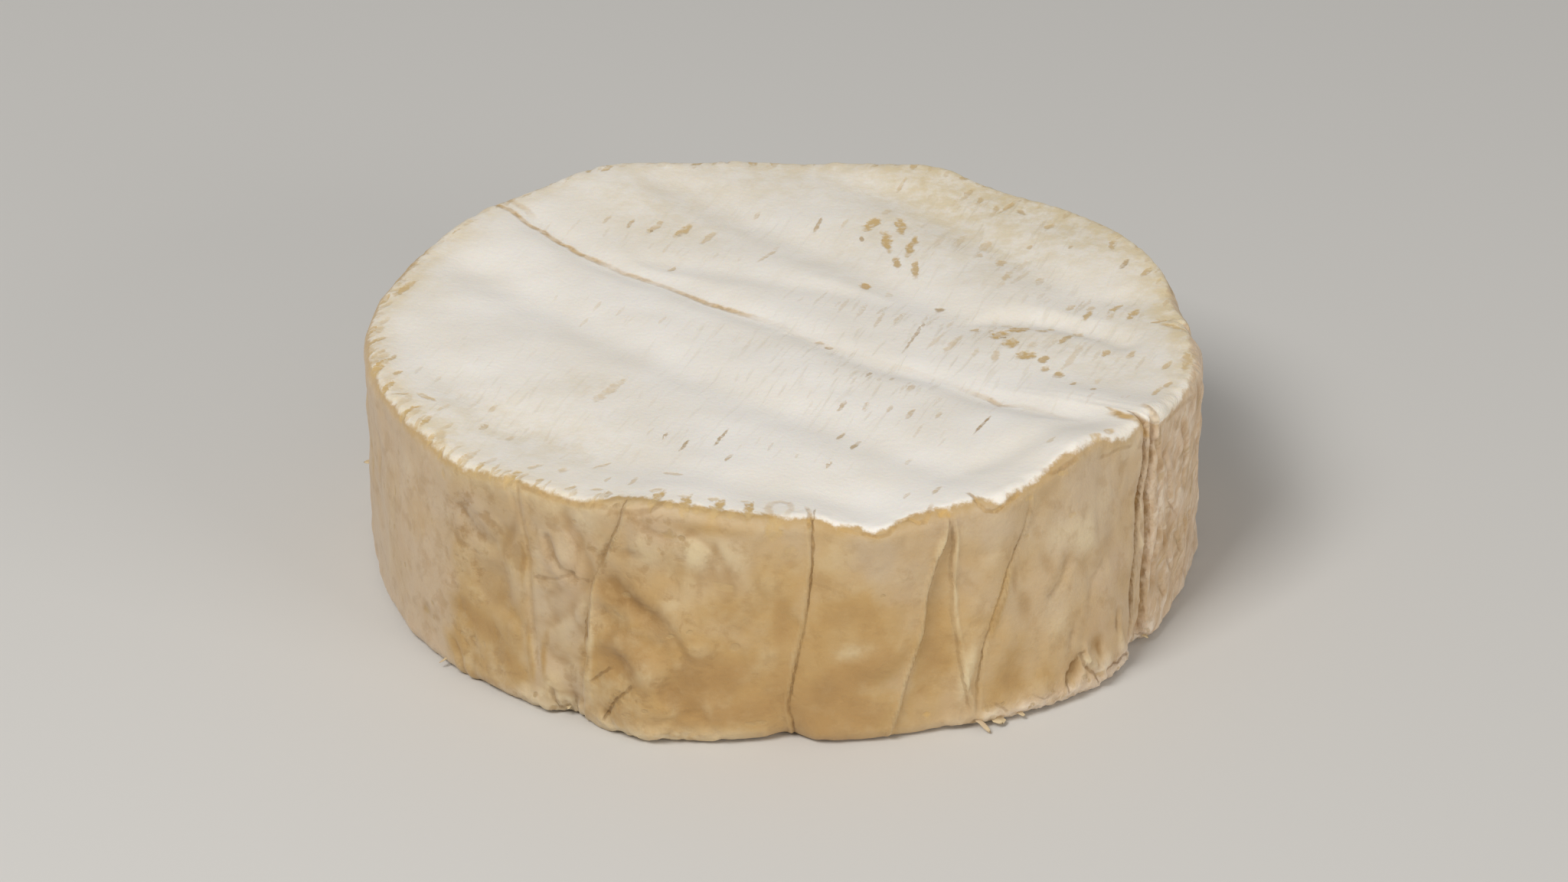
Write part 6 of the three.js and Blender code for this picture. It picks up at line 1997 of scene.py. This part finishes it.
flake_grid = np.arange(FLAKE_STEPS * FLAKE_SIDES).reshape(FLAKE_STEPS, FLAKE_SIDES)
flake_quads = np.concatenate([ring_quads(near, far) for near, far in zip(flake_grid[:-1], flake_grid[1:])])
all_points = np.concatenate([flake_points(*flake).reshape(-1, 3) for flake in FLAKES])
all_points[:, 2] = np.maximum(all_points[:, 2], 0)
starts = np.arange(len(FLAKES)) * flake_grid.size
all_quads = (flake_quads[:, ::-1] + starts[:, None, None]).reshape(-1, 4)
flakes = make_mesh("rind_flakes", all_points - middle, all_quads)

shell = bmesh.new()
shell.from_mesh(flakes.data)
bmesh.ops.remove_doubles(shell, verts=shell.verts, dist=MERGED)
bmesh.ops.holes_fill(shell, edges=shell.edges, sides=FLAKE_SIDES)
bmesh.ops.recalc_face_normals(shell, faces=shell.faces)
shell.to_mesh(flakes.data)
shell.free()
print("flakes:", len(FLAKES), "with", len(flakes.data.polygons), "faces")

# %% The flakes' material
FLAKE_GRAIN = (0.6, 0.08, 2.0)
FLAKE_SKIN = {"Roughness": 0.75}


def make_flake_skin():
    """The pale dry film, with the same grain as the wall."""
    material, tree, shader = new_material("flake_skin", FLAKE_SKIN)
    skin = grained(tree, skin_place(tree), *FLAKE_GRAIN)
    colour_and_bump(tree, shader, blend(tree, skin["Clouds"], WALL_FILM_AND_HIGHLIGHT, WALL_BEIGE), skin["Fuzz"])
    return material


flakes.data.materials.append(make_flake_skin())
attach(flakes, "root")
print("flakes have", flakes.data.materials[0].name)

# %% [markdown]
# ## Floor, light and camera
#
# A cheese is lit softly from above and a little from the left, so that the troughs show as pale
# grey bands. The camera looks down by 27 degrees from 0.7 m.

# %% Floor
FLOOR_REACH = 3.0  # metres
FLOOR_PAINT = {"Base Color": paint(214, 212, 208), "Roughness": 0.9, "Specular IOR Level": 0.1}

corners = np.array([[-1, -1, 0], [1, -1, 0], [1, 1, 0], [-1, 1, 0]]) * FLOOR_REACH / MM
floor = make_mesh("floor", corners, np.array([[0, 1, 2, 3]]))
floor.data.materials.append(new_material("floor_paint", FLOOR_PAINT)[0])
print("floor:", 2 * FLOOR_REACH, "m wide")

# %% Light
# Each light is its name, place in metres, size, power in watts and colour.
LIGHTS = [
    ("key", (-0.4, -0.55, 0.8), 0.4, 6.6, (1.0, 0.985, 0.96)),
    ("front_fill", (0.75, -0.7, 0.22), 0.5, 4.0, (1.0, 0.98, 0.95)),
]
LIT_POINT = (0, 0, 0.015)
SKY = {"Color": (1.0, 1.0, 1.0, 1.0), "Strength": 0.31}


def aim(thing, target):
    """Turns a light or camera so that it looks at a point."""
    thing.rotation_euler = (Vector(target) - thing.location).to_track_quat("-Z", "Y").to_euler()


def soft_light(name, place, size, power, colour):
    """A square area light that looks at the wheel."""
    lamp = bpy.data.lights.new(name, "AREA")
    lamp.size = size
    lamp.energy = power
    lamp.color = colour
    holder = bpy.data.objects.new(name, lamp)
    holder.location = place
    bpy.context.scene.collection.objects.link(holder)
    aim(holder, LIT_POINT)


for light in LIGHTS:
    soft_light(*light)

world = bpy.data.worlds.new("studio")
world.use_nodes = True
for name, value in SKY.items():
    world.node_tree.nodes["Background"].inputs[name].default_value = value
bpy.context.scene.world = world
bpy.context.scene.view_settings.view_transform = "Standard"
print("lights:", len(LIGHTS), "and a plain sky")

# %% Camera
CAMERA_DISTANCE = 0.704  # in metres, as all places here
CAMERA_ELEVATION = math.radians(26.96)
LOOK_AT = (0, 0, 0.0145)
SENSOR_WIDTH, LENS = 36, 123.4  # in millimetres

camera_data = bpy.data.cameras.new("camera")
camera_data.sensor_width = SENSOR_WIDTH
camera_data.lens = LENS
camera = bpy.data.objects.new("camera", camera_data)
back = CAMERA_DISTANCE * math.cos(CAMERA_ELEVATION)
up = CAMERA_DISTANCE * math.sin(CAMERA_ELEVATION)
camera.location = (0, -back, LOOK_AT[2] + up)
bpy.context.scene.collection.objects.link(camera)
aim(camera, LOOK_AT)
bpy.context.scene.camera = camera
print("camera at", np.round(camera.location, 3))
